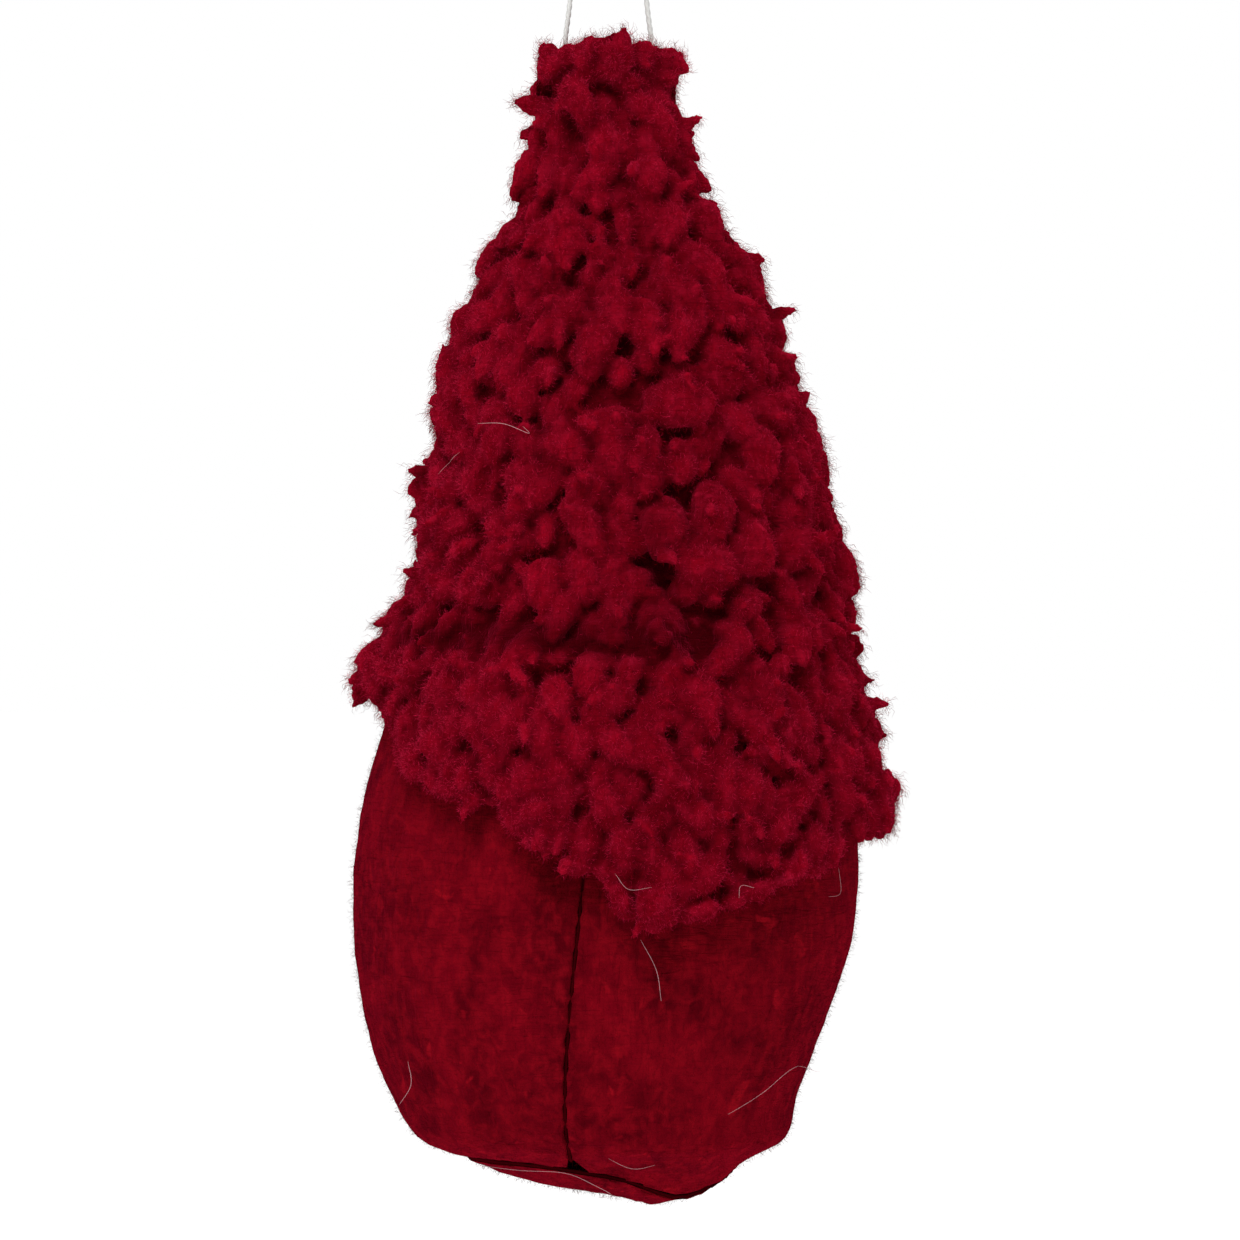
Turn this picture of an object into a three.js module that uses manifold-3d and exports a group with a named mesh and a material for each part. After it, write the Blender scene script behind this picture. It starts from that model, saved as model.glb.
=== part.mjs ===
// Hanging felt gnome ornament, in millimetres, +Z up.
// The origin is the top of the cord loop, where a hook holds it, and the gnome hangs below it.
// The gnome's face is towards -Y and its back towards +Y. Its heights are measured up from the
// underside of its base, and its angles run anticlockwise from +X, seen from above.
import * as THREE from "three";
import { mergeVertices } from "three/addons/utils/BufferGeometryUtils.js";
import Module from "manifold-3d";

const wasm = await Module();
wasm.setup();

// ---------------------------------------------------------------- driving dimensions

const HOOK_TO_BASE = 221.6; // the whole drop, from the hook to the underside of the base
const GAP = 0.35; // clearance between pieces that touch
const LOOSE_GAP = 0.8; // clearance between facetted surfaces that lie over each other

const CORD_DIAMETER = 0.75;
const CORD_SIDES = 8;
const CORD_BEND_HEIGHT = 168; // where the cord bends when the gnome swings
const KNOT_HEIGHT = 151;
const KNOT_RADIUS = 1.4;

const FELT = 2; // thickness of the body felt
const THREAD = 0.6; // thickness of a doubled sewing thread
const THREAD_SIDES = 6;
const SEAM = THREAD + 2 * GAP; // width that a thread takes between two sewn edges

const BACK_DEPTH = 0.86; // how far the body reaches back, over how far it reaches to the side
const FRONT_DEPTH = 0.86;
const SEAM_TOP = 92; // the body's two upright seams end here, below the neck
const TIE_HEIGHT = 98.4; // the tie that closes the body's neck
const TIE_REACH = 5.2;

const HAT_TOP = 166.5;
const HAT_MIN = 2.2; // the hat is at least this thick where it presses on the body
const GLUE_HEIGHT = 79;
const GLUE_THICKNESS = 1.2;

const NOSE_RADIUS = 6.5;
const NOSE_DEPTH = 9;
const NOSE_HEIGHT = 54;

const BEARD_THICKNESS = 3;
const BEARD_TOP = 65;
const BEARD_FOLD = 46.8; // below this line the beard hangs free
const BEARD_FOLD_GAP = 0.6;
const BEARD_TIP = 15;
const BEARD_ROOM = 5; // the hat's front stands this far off the body, over the beard's top

const colours = {
  felt: 0x6b0513,
  fleece: 0x72061a,
  thread: 0x4a0410,
  cord: 0xc9c9c4,
  filling: 0xe9e6df,
  glue: 0xd9d2bd,
  wood: 0xdcb98c,
  fur: 0xe8e2d6,
};

// ---------------------------------------------------------------- smooth tables

// A smooth function of height through [height, value] pairs, level beyond the ends.
function byHeight(pairs) {
  const heights = pairs.map((pair) => pair[0]);
  const values = pairs.map((pair) => pair[1]);
  const track = new THREE.CubicInterpolant(heights, values, 1);
  const last = heights.length - 1;
  return (height) => track.evaluate(THREE.MathUtils.clamp(height, heights[0], heights[last]))[0];
}

// A smooth function of the angle round the gnome through [degrees, value] pairs from 0 to 360.
function byAngle(pairs) {
  const turn = 360;
  const before = pairs.map(([degrees, value]) => [degrees - turn, value]);
  const after = pairs.map(([degrees, value]) => [degrees + turn, value]);
  const track = byHeight([...before, ...pairs, ...after]);
  return (angle) => track(THREE.MathUtils.euclideanModulo(THREE.MathUtils.radToDeg(angle), turn));
}

// ---------------------------------------------------------------- shaping

// The geometry with only its places left, each shared corner once.
function joined(geometry) {
  geometry.deleteAttribute("normal");
  geometry.deleteAttribute("uv");
  const merged = mergeVertices(geometry);
  merged.computeVertexNormals();
  return merged;
}

// Moves every corner of a closed geometry to where place(corner) puts it.
function reshaped(geometry, place) {
  const corners = geometry.attributes.position;
  const corner = new THREE.Vector3();
  for (let i = 0; i < corners.count; i += 1) {
    const placed = place(corner.fromBufferAttribute(corners, i));
    corners.setXYZ(i, placed.x, placed.y, placed.z);
  }
  return joined(geometry);
}

// A closed sheet. place(across, up, depth) gives a corner's place: across and up run along the
// sheet and depth from its inner face to its outer face, each from 0 to 1.
function bentSheet(columns, rows, place) {
  const block = new THREE.BoxGeometry(1, 1, 1, columns, rows, 1);
  return reshaped(block, (corner) => place(corner.x + 0.5, corner.y + 0.5, corner.z + 0.5));
}

// An outline of [reach, height] points turned about Z.
function turned(outline, sides) {
  const points = outline.map(([reach, height]) => new THREE.Vector2(reach, height));
  return new THREE.LatheGeometry(points, sides).rotateX(Math.PI / 2);
}

// A round cord or thread of this thickness along a curve.
function tube(curve, thickness, steps, sides) {
  const section = new THREE.Shape().absarc(0, 0, thickness / 2, 0, 2 * Math.PI);
  const options = { steps, curveSegments: sides / 2, bevelEnabled: false, extrudePath: curve };
  return joined(new THREE.ExtrudeGeometry(section, options));
}

// A ring of thread or glue about Z, before it is laid on an oval.
function ring(reach, thickness, steps) {
  return new THREE.TorusGeometry(reach, thickness / 2, THREAD_SIDES, steps);
}

function solid(geometry) {
  const { position } = geometry.attributes;
  const triVerts = new Uint32Array(geometry.index.array);
  return new wasm.Manifold(new wasm.Mesh({ numProp: 3, vertProperties: position.array, triVerts }));
}

function geometryOf(made) {
  const mesh = made.getMesh();
  const geometry = new THREE.BufferGeometry();
  geometry.setAttribute("position", new THREE.BufferAttribute(mesh.vertProperties, 3));
  geometry.setIndex(new THREE.BufferAttribute(mesh.triVerts, 1));
  geometry.computeVertexNormals();
  return geometry;
}

// A part's mesh. Its material is matt, as all of them are cloth, thread or bare wood.
function part(name, geometry, colour) {
  const material = new THREE.MeshStandardMaterial({ color: colour, roughness: 0.95, metalness: 0 });
  const mesh = new THREE.Mesh(geometry, material);
  mesh.name = name;
  return mesh;
}

// ---------------------------------------------------------------- the felt body

// Half of the body's outline, as [reach, height], from the base seam up to the frill of the neck.
const bodyOutline = new THREE.SplineCurve(
  [
    [23.6, 6],
    [31, 13],
    [36, 27],
    [37.5, 44],
    [35.2, 61],
    [28, 79.5],
    [17, 92.5],
    [6.4, 97],
    [TIE_REACH, TIE_HEIGHT],
    [7.4, 102],
  ].map(([reach, height]) => new THREE.Vector2(reach, height)),
);

// The body is a little slimmer on its own right side (-X) than on its left, below its middle.
const rightShare = byHeight([
  [6, 0.92],
  [14, 0.868],
  [24, 0.885],
  [34, 0.945],
  [44, 0.985],
  [56, 1],
]);

// How flat the body is, and how round its neck.
const frontShare = byHeight([
  [80, FRONT_DEPTH],
  [97, 1],
]);
const backShare = byHeight([
  [80, BACK_DEPTH],
  [97, 1],
]);

// Presses a round shape, whose corner this is, into the body's oval.
function ovalled(corner) {
  const side = corner.x < 0 ? rightShare(corner.z) : 1;
  const depth = corner.y < 0 ? frontShare(corner.z) : backShare(corner.z);
  return new THREE.Vector3(corner.x * side, corner.y * depth, corner.z);
}

// The height of the base seam, which sags behind the gnome's right side.
const baseSeamHeight = byAngle([
  [0, 5.8],
  [60, 5.6],
  [90, 4.3],
  [120, 2.7],
  [150, 3.7],
  [180, 5.2],
  [270, 4.8],
]);

// The centre-back seam runs at this many degrees to the left of straight back.
const backSeamTurn = byHeight([
  [6, 13],
  [28, 8.8],
  [47, 5.5],
  [96, 0],
]);

// A point of the body's felt: share runs up the outline, inset is the depth below its outer face.
function bodyPoint(share, angle, inset) {
  const edge = bodyOutline.getPoint(share);
  const along = bodyOutline.getTangent(share);
  const reach = edge.x - along.y * inset;
  const height = edge.y + along.x * inset;
  const sagTop = 22;
  const sag = THREE.MathUtils.smoothstep(sagTop - height, 0, sagTop - 6);
  const drop = (baseSeamHeight(angle) + SEAM / 2 - 6) * sag;
  const round = new THREE.Vector3(reach * Math.cos(angle), reach * Math.sin(angle), height);
  return ovalled(round).add(new THREE.Vector3(0, 0, drop));
}

// The body's outer reach at a height, before it is pressed oval.
function bodyReach(height) {
  const steps = 400;
  const points = bodyOutline.getPoints(steps);
  const above = points.findIndex((point) => point.y >= height);
  if (above < 0) return 0;
  return points[above].x;
}

const FRONT = -Math.PI / 2;
const BACK = Math.PI / 2;

function backSeamAngle(height) {
  return BACK - THREE.MathUtils.degToRad(backSeamTurn(height));
}

// A felt panel from one seam to the other, each edge standing back half a seam.
function bodyPanel(fromSeam, toSeam) {
  return bentSheet(12, 22, (across, up, depth) => {
    const inset = FELT * (1 - depth);
    const height = bodyOutline.getPoint(up).y;
    const reach = bodyOutline.getPoint(up).x - inset;
    const edge = Math.asin(SEAM / 2 / Math.max(reach, SEAM));
    const angle = THREE.MathUtils.lerp(fromSeam(height) + edge, toSeam(height) - edge, across);
    return bodyPoint(up, angle, inset);
  });
}

const frontSeamOfLeft = () => FRONT;
const frontSeamOfRight = () => FRONT + 2 * Math.PI;

// The share of the outline at which it first reaches a height.
function shareAt(height) {
  const steps = 400;
  const points = bodyOutline.getPoints(steps);
  return points.findIndex((point) => point.y >= height) / steps;
}

// The thread of an upright body seam, in the middle of the felt.
function bodySeamThread(seamAngle) {
  const stops = 14;
  const first = 0.012;
  const last = shareAt(SEAM_TOP);
  const points = Array.from({ length: stops }, (_, i) => {
    const share = THREE.MathUtils.lerp(first, last, i / (stops - 1));
    return bodyPoint(share, seamAngle(bodyOutline.getPoint(share).y), FELT / 2);
  });
  return tube(new THREE.CatmullRomCurve3(points), THREAD, 24, THREAD_SIDES);
}

// The thread of the base seam follows the seam's rise and fall.
function baseSeamThread() {
  const reach = bodyOutline.getPoint(0).x - FELT / 2;
  return reshaped(ring(reach, THREAD, 48), (corner) => {
    const angle = Math.atan2(corner.y, corner.x);
    const level = new THREE.Vector3(corner.x, corner.y, 6);
    return ovalled(level).setZ(corner.z + baseSeamHeight(angle));
  });
}

// The base is a felt oval, bulging a little, whose rim meets the base seam from below.
function basePanel() {
  const reach = bodyOutline.getPoint(0).x;
  const bulge = 0.15;
  const outline = [
    [0, 0],
    [reach * 0.35, 0],
    [reach * 0.7, 0],
    [reach - 1, 0],
    [reach, FELT * 0.5],
    [reach - 1, FELT],
    [reach * 0.7, FELT],
    [reach * 0.35, FELT],
    [0, FELT],
  ];
  return reshaped(turned(outline, 32), (corner) => {
    const angle = Math.atan2(corner.y, corner.x);
    const out = Math.hypot(corner.x, corner.y) / reach;
    const rim = baseSeamHeight(angle) - SEAM / 2 - FELT;
    const rise = THREE.MathUtils.lerp(bulge, rim, out * out);
    const level = new THREE.Vector3(corner.x, corner.y, 6);
    return ovalled(level).setZ(corner.z + rise);
  });
}

// The filling stands clear of the felt all round and ends below the neck.
function bodyFilling() {
  const inset = FELT + LOOSE_GAP;
  const stops = 12;
  const last = shareAt(SEAM_TOP);
  const walls = Array.from({ length: stops }, (_, i) => {
    const share = THREE.MathUtils.lerp(0.04, last, i / (stops - 1));
    const edge = bodyOutline.getPoint(share);
    const along = bodyOutline.getTangent(share);
    return [edge.x - along.y * inset, edge.y + along.x * inset];
  });
  const bottom = 5.2;
  const outline = [[0, bottom], [walls[0][0] * 0.7, bottom + 1.2], ...walls, [0, TIE_HEIGHT - 5]];
  return reshaped(turned(outline, 28), ovalled);
}

// The tie is drawn round the neck, outside the felt.
function neckTie() {
  const reach = TIE_REACH + GAP + THREAD / 2;
  return reshaped(ring(reach, THREAD, 28), (corner) => ovalled(corner.setZ(corner.z + TIE_HEIGHT)));
}

// The glue lies on the felt where the hat's widest fold covers it.
function hatGlue() {
  const reach = bodyReach(GLUE_HEIGHT) + GLUE_THICKNESS;
  return reshaped(ring(reach, GLUE_THICKNESS, 36), (corner) => ovalled(corner.setZ(corner.z + GLUE_HEIGHT)));
}

// ---------------------------------------------------------------- the fleece hat

// How far the hat reaches from its middle to each side, to the front and to the back.
const hatLeft = byHeight([
  [56, 37.4],
  [66, 36.8],
  [74, 35.6],
  [79, 33.8],
  [84, 30.8],
  [90, 28.4],
  [104, 26.8],
  [114, 25],
  [124, 22.4],
  [132, 19.4],
  [138, 15.6],
  [144, 12.8],
  [151, 11.4],
  [HAT_TOP, 10.2],
]);
const hatRight = byHeight([
  [46, 40],
  [56, 39.8],
  [66, 38],
  [74, 36.2],
  [84, 34],
  [90, 34.2],
  [104, 31.2],
  [114, 28.8],
  [124, 24.8],
  [132, 21.8],
  [138, 17],
  [144, 13],
  [151, 10.8],
  [HAT_TOP, 9.6],
]);
const hatBack = byHeight([
  [40, 36.4],
  [56, 35.6],
  [66, 34.4],
  [74, 33],
  [79, 31.2],
  [84, 29.2],
  [94, 27],
  [104, 24.6],
  [114, 21.6],
  [124, 18.2],
  [132, 15],
  [140, 11],
  [150, 7.6],
  [HAT_TOP, 5.8],
]);
const hatFront = byHeight([
  [56, 37.4],
  [66, 36.4],
  [74, 34.6],
  [79, 31.6],
  [84, 29.2],
  [94, 27],
  [104, 24.6],
  [114, 21.6],
  [124, 18.2],
  [132, 15],
  [140, 11],
  [150, 7.6],
  [HAT_TOP, 5.8],
]);

// The fleece is pressed thin over the body and stands full above it. At the sides of the flat top
// the two layers meet edge to edge.
const fleeceDepth = byHeight([
  [72, 2.6],
  [94, 4.2],
  [HAT_TOP, 4.4],
]);
const fleeceSide = byHeight([
  [72, 2.6],
  [94, 4.2],
  [132, 4],
  [150, 1.8],
  [HAT_TOP, 1.4],
]);

// The hem hangs lowest behind the gnome's right side and is drawn up over the face.
const hemHeight = byAngle([
  [0, 73],
  [25, 67.5],
  [50, 59.5],
  [74, 54.5],
  [87, 47.5],
  [101, 41],
  [118, 44.5],
  [150, 50],
  [180, 53.5],
  [225, 58.5],
  [270, 61.8],
  [315, 67.5],
]);

// The hat's reach at a height and angle, on its outer face (depth 1) or its inner face (depth 0).
// The inner face keeps clear of the body, and of the beard's top at the front.
function hatPoint(height, angle, depth) {
  const body = bodyReach(height) + LOOSE_GAP;
  const overBeard = BEARD_ROOM * (1 - THREE.MathUtils.smoothstep(height, BEARD_TOP + 3, BEARD_TOP + 12));
  const toSide = Math.cos(angle) > 0 ? hatLeft(height) : hatRight(height);
  const sideBody = Math.cos(angle) > 0 ? body : body * rightShare(height);
  const toDepth = Math.sin(angle) > 0 ? hatBack(height) : hatFront(height);
  const depthBody = Math.sin(angle) > 0 ? body * backShare(height) : (body + overBeard) * frontShare(height);
  const sideInner = Math.max(toSide - fleeceSide(height), sideBody);
  const depthInner = Math.max(toDepth - fleeceDepth(height), depthBody);
  const sideOuter = Math.max(toSide, sideInner + HAT_MIN);
  const depthOuter = Math.max(toDepth, depthInner + HAT_MIN);
  const side = depth < 0.5 ? sideInner : sideOuter;
  const back = depth < 0.5 ? depthInner : depthOuter;
  return new THREE.Vector3(side * Math.cos(angle), back * Math.sin(angle), height);
}

// One of the hat's two panels, from one side seam to the other.
function hatPanel(firstAngle) {
  return bentSheet(18, 22, (across, up, depth) => {
    const about = THREE.MathUtils.lerp(firstAngle, firstAngle + Math.PI, across);
    const height = THREE.MathUtils.lerp(hemHeight(about), HAT_TOP, up);
    const middle = hatPoint(height, firstAngle + Math.PI / 2, depth);
    const edge = Math.min(Math.asin(Math.min(SEAM / 2 / Math.abs(middle.y), 1)), Math.PI / 3);
    const angle = THREE.MathUtils.lerp(firstAngle + edge, firstAngle + Math.PI - edge, across);
    return hatPoint(height, angle, depth);
  });
}

// A side seam's thread runs in the middle of the fleece, between the two panels' edges.
function hatSeamThread(angle) {
  const stops = 12;
  const first = hemHeight(angle) + 1;
  const points = Array.from({ length: stops }, (_, i) => {
    const height = THREE.MathUtils.lerp(first, HAT_TOP - 1, i / (stops - 1));
    return hatPoint(height, angle, 0).lerp(hatPoint(height, angle, 1), 0.5);
  });
  return tube(new THREE.CatmullRomCurve3(points), THREAD, 26, THREAD_SIDES);
}

// The hat's filling is a blunt cone between the body's neck and the knot.
function hatFilling() {
  const bottom = 104;
  const top = 146;
  const clear = 1.6;
  return reshaped(new THREE.SphereGeometry(1, 24, 14), (corner) => {
    const height = THREE.MathUtils.mapLinear(corner.y, -1, 1, bottom, top);
    const blunt = 4;
    const plump = (1 - Math.abs(corner.y) ** blunt) ** (1 / blunt);
    const angle = Math.atan2(-corner.z, corner.x);
    const inner = hatPoint(height, angle, 0);
    const share = plump * (1 - clear / Math.hypot(inner.x, inner.y));
    return new THREE.Vector3(inner.x * share, inner.y * share, height);
  });
}

// ---------------------------------------------------------------- the face

// Half the beard's width, as an angle round the gnome.
const beardHalf = byHeight([
  [BEARD_TIP, 7],
  [19, 15],
  [27, 23],
  [36, 29],
  [BEARD_FOLD, 32],
  [BEARD_TOP, 24],
]);

// A stretch of the beard between two heights, lying on the body's front.
function beardStretch(bottom, top, rows) {
  return bentSheet(12, rows, (across, up, depth) => {
    const height = THREE.MathUtils.lerp(bottom, top, up);
    const half = THREE.MathUtils.degToRad(beardHalf(height));
    const angle = THREE.MathUtils.lerp(FRONT - half, FRONT + half, across);
    const reach = bodyReach(height) + LOOSE_GAP + depth * BEARD_THICKNESS;
    return ovalled(new THREE.Vector3(reach * Math.cos(angle), reach * Math.sin(angle), height));
  });
}

// How far forward the beard's outer face is at a height, on the centre line.
function beardFace(height) {
  return (bodyReach(height) + LOOSE_GAP + BEARD_THICKNESS) * frontShare(height);
}

// The nose is a ball with a flat back. Its back is at zero and its tip at NOSE_DEPTH.
function noseSolid() {
  const centre = NOSE_DEPTH - NOSE_RADIUS;
  const start = -Math.asin(centre / NOSE_RADIUS);
  const arc = new THREE.Path().absarc(0, centre, NOSE_RADIUS, start, Math.PI / 2);
  const rim = arc.getPoints(10).map((point) => [Math.max(point.x, 0), point.y]);
  return joined(turned([[0, 0], ...rim], 24));
}

// ---------------------------------------------------------------- the cord

// The left half of the loop, from the bend at the hat's top up to the hook. The other half mirrors it.
const loopSide = [
  [6.25, -HOOK_TO_BASE + CORD_BEND_HEIGHT],
  [5.55, -48],
  [5.1, -42],
  [4.6, -35],
  [4.1, -28],
  [3.6, -21],
  [3.1, -14.5],
  [2.7, -9],
  [2.4, -5],
  [2.05, -2.4],
  [1.2, -0.6],
];

function hangingLoop() {
  const left = loopSide.map(([x, z]) => new THREE.Vector3(x, 0, z));
  const right = loopSide.map(([x, z]) => new THREE.Vector3(-x, 0, z)).reverse();
  const route = new THREE.CatmullRomCurve3([...left, new THREE.Vector3(0, 0, 0), ...right]);
  return tube(route, CORD_DIAMETER, 56, CORD_SIDES);
}

// The cord's two tails run down inside the hat to the knot that joins them.
function cordKnot() {
  const start = CORD_BEND_HEIGHT - 2 * CORD_DIAMETER / 2 - GAP;
  const tail = (way) =>
    tube(
      new THREE.CatmullRomCurve3([
        new THREE.Vector3(way * 6.2, 0, start),
        new THREE.Vector3(way * 6, 0, start - 3),
        new THREE.Vector3(way * 4.4, 0, start - 8),
        new THREE.Vector3(way * 2, 0, start - 13),
        new THREE.Vector3(way * 0.3, 0, KNOT_HEIGHT),
      ]),
      CORD_DIAMETER,
      10,
      CORD_SIDES,
    );
  const ball = new THREE.SphereGeometry(KNOT_RADIUS, 12, 8).translate(0, 0, KNOT_HEIGHT);
  return geometryOf(solid(tail(1)).add(solid(tail(-1))).add(solid(joined(ball))));
}

// ---------------------------------------------------------------- the assembly

const hanger = new THREE.Group();
hanger.add(part("hanging_loop", hangingLoop(), colours.cord));

const gnome = new THREE.Group();
gnome.position.z = -HOOK_TO_BASE;
gnome.add(
  part("cord_knot", cordKnot(), colours.cord),
  part("hat_back_panel", hatPanel(0), colours.fleece),
  part("hat_front_panel", hatPanel(-Math.PI), colours.fleece),
  part("hat_seam_thread_left", hatSeamThread(0), colours.thread),
  part("hat_seam_thread_right", hatSeamThread(Math.PI), colours.thread),
  part("hat_filling", hatFilling(), colours.filling),
  part("hat_glue", hatGlue(), colours.glue),
  part("body_left_panel", bodyPanel(frontSeamOfLeft, backSeamAngle), colours.felt),
  part("body_right_panel", bodyPanel(backSeamAngle, frontSeamOfRight), colours.felt),
  part("back_seam_thread", bodySeamThread(backSeamAngle), colours.thread),
  part("front_seam_thread", bodySeamThread(frontSeamOfLeft), colours.thread),
  part("base_panel", basePanel(), colours.felt),
  part("base_seam_thread", baseSeamThread(), colours.thread),
  part("neck_tie", neckTie(), colours.thread),
  part("body_filling", bodyFilling(), colours.filling),
  part("beard_top", beardStretch(BEARD_FOLD + BEARD_FOLD_GAP / 2, BEARD_TOP, 5), colours.fur),
  part("beard_flap", beardStretch(BEARD_TIP, BEARD_FOLD - BEARD_FOLD_GAP / 2, 9), colours.fur),
);

const nose = part("nose", noseSolid(), colours.wood);
nose.rotation.x = Math.PI / 2;
nose.position.set(0, -beardFace(NOSE_HEIGHT - NOSE_RADIUS) - GAP, NOSE_HEIGHT);
gnome.add(nose);

const ornament = new THREE.Group();
ornament.add(hanger, gnome);

export default ornament;
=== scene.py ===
# %% [markdown]
# # A hanging felt gnome, finished in Blender
# The ornament is a stuffed bag of red wool felt under a tall hat of curly red fleece.
# It hangs by a loop of thin cord that is knotted inside the hat.
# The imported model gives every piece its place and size. Here each piece gets its real surface:
# felt pulled in at its seams, thick locks of fleece, loose wool fibres, a fur beard and a
# turned wooden nose. Everything is in metres, with +Z up and the hook at the origin.

# %% Load the frame
import math

import bpy
import numpy as np
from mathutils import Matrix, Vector, kdtree, noise


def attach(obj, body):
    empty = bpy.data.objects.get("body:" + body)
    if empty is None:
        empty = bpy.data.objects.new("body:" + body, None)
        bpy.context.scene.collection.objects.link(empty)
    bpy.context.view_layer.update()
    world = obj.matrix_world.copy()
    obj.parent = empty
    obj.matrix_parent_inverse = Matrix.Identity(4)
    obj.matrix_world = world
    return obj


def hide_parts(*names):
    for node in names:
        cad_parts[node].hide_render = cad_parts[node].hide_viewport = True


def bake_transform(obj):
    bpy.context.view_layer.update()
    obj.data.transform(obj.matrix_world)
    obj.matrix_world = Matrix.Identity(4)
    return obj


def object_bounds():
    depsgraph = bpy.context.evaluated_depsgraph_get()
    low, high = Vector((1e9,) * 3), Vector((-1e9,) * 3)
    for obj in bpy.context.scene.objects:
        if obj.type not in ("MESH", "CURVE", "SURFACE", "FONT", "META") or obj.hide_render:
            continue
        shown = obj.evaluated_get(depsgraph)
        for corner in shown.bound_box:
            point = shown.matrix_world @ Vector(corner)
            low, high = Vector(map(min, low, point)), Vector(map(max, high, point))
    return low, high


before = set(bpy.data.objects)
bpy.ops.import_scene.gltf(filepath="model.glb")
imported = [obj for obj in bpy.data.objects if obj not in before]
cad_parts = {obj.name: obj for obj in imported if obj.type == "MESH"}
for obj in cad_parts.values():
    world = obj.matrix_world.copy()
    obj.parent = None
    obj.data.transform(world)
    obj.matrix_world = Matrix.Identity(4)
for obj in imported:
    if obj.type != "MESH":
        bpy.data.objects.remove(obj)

cad_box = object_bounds()
cad_low, cad_high = cad_box
MM = 0.001
BASE = cad_low.z  # the underside of the base, from which heights are measured
scene = bpy.context.scene

# %% [markdown]
# ## Camera
# The ornament is seen from straight behind, level with its middle, as it hangs.
# A long lens from a metre away keeps its outline free of distortion.

# %% Place the camera
CAMERA_DISTANCE = 1.0
CAMERA_MIDDLE = (-0.0017, -0.1379)  # across and up, where the picture's middle is
camera = bpy.data.objects.new("camera", bpy.data.cameras.new("camera"))
scene.collection.objects.link(camera)
camera.data.lens = 200
camera.data.sensor_width = 36
camera.location = (CAMERA_MIDDLE[0], CAMERA_DISTANCE, CAMERA_MIDDLE[1])
camera.rotation_euler = (math.pi / 2, 0, math.pi)
scene.camera = camera
print("camera at", tuple(round(v, 4) for v in camera.location))

# %% [markdown]
# ## Helpers for modelling
# An operator works on whatever is selected, so each step first selects one piece alone.
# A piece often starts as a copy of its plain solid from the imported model: the copy's loose
# triangles are merged, and then it can be subdivided and shaped like any mesh.


# %% Define the modelling helpers
def alone(piece):
    """Selects this piece and nothing else."""
    bpy.ops.object.select_all(action="DESELECT")
    piece.hide_set(False)
    piece.select_set(True)
    bpy.context.view_layer.objects.active = piece


def triangles_of(piece):
    """The number of triangles of a mesh."""
    piece.data.calc_loop_triangles()
    return len(piece.data.loop_triangles)


def corners_of(piece):
    """The places of a mesh's corners, as rows."""
    places = np.empty(len(piece.data.vertices) * 3)
    piece.data.vertices.foreach_get("co", places)
    return places.reshape(-1, 3)


def move_corners(piece, places):
    """Puts a mesh's corners at these places."""
    piece.data.vertices.foreach_set("co", np.asarray(places).ravel())
    piece.data.update()


def copy_of(node, name):
    """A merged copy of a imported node, as a new piece without a material."""
    piece = bpy.data.objects.new(name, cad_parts[node].data.copy())
    piece.data.name = name
    piece.data.materials.clear()
    scene.collection.objects.link(piece)
    alone(piece)
    bpy.ops.object.mode_set(mode="EDIT")
    bpy.ops.mesh.select_all(action="SELECT")
    bpy.ops.mesh.remove_doubles(threshold=1e-6)
    bpy.ops.mesh.tris_convert_to_quads(face_threshold=1.2, shape_threshold=1.2)
    bpy.ops.mesh.normals_make_consistent(inside=False)
    bpy.ops.object.mode_set(mode="OBJECT")
    return piece


def apply_modifier(piece, kind, **settings):
    """Adds a modifier with these settings and applies it at once."""
    alone(piece)
    modifier = piece.modifiers.new(kind.lower(), kind)
    for key, value in settings.items():
        setattr(modifier, key, value)
    bpy.ops.object.modifier_apply(modifier=modifier.name)


def subdivided(piece, levels):
    apply_modifier(piece, "SUBSURF", levels=levels, render_levels=levels)


def lumpy(piece, size, height):
    """Pushes the surface in and out by soft lumps of this size."""
    lumps = bpy.data.textures.new(piece.name + "_lumps", "CLOUDS")
    lumps.noise_scale = size
    lumps.noise_depth = 1
    apply_modifier(
        piece, "DISPLACE", texture=lumps, texture_coords="LOCAL", strength=height, mid_level=0.5
    )


def finished(piece, body, material, slot, *nodes):
    """Gives a piece its finish, hangs it on its body and lets it stand for nodes."""
    piece.data.materials.clear()
    for each in material if isinstance(material, list) else [material]:
        piece.data.materials.append(each)
    if nodes:
        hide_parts(*nodes)
    if body:
        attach(piece, body)
    print(piece.name, triangles_of(piece), "triangles")
    return piece


def smooth(piece):
    piece.data.polygons.foreach_set("use_smooth", np.ones(len(piece.data.polygons), bool))
    piece.data.update()


def bell(value, middle, width):
    return np.exp(-(((value - middle) / width) ** 2))


def step_up(value, low, high):
    share = np.clip((value - low) / (high - low), 0, 1)
    return share * share * (3 - 2 * share)


# %% [markdown]
# ## Helpers for finishes
# Dyed wool is never one flat red. Two effects are shared by several finishes, so each is a node
# group: soft mottling, where the carded wool took more or less dye, and short crossing fibres.
# The groups put out masks and heights only, and each material mixes its own colours with them.


# %% Build the shared node groups
def new_group(name, inputs, outputs):
    """An empty node group with number inputs and number outputs, and its two end nodes."""
    group = bpy.data.node_groups.new(name, "ShaderNodeTree")
    for label, value in inputs.items():
        socket = group.interface.new_socket(label, in_out="INPUT", socket_type="NodeSocketFloat")
        socket.default_value = value
    for label in outputs:
        group.interface.new_socket(label, in_out="OUTPUT", socket_type="NodeSocketFloat")
    return group, group.nodes.new("NodeGroupInput"), group.nodes.new("NodeGroupOutput")


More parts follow.
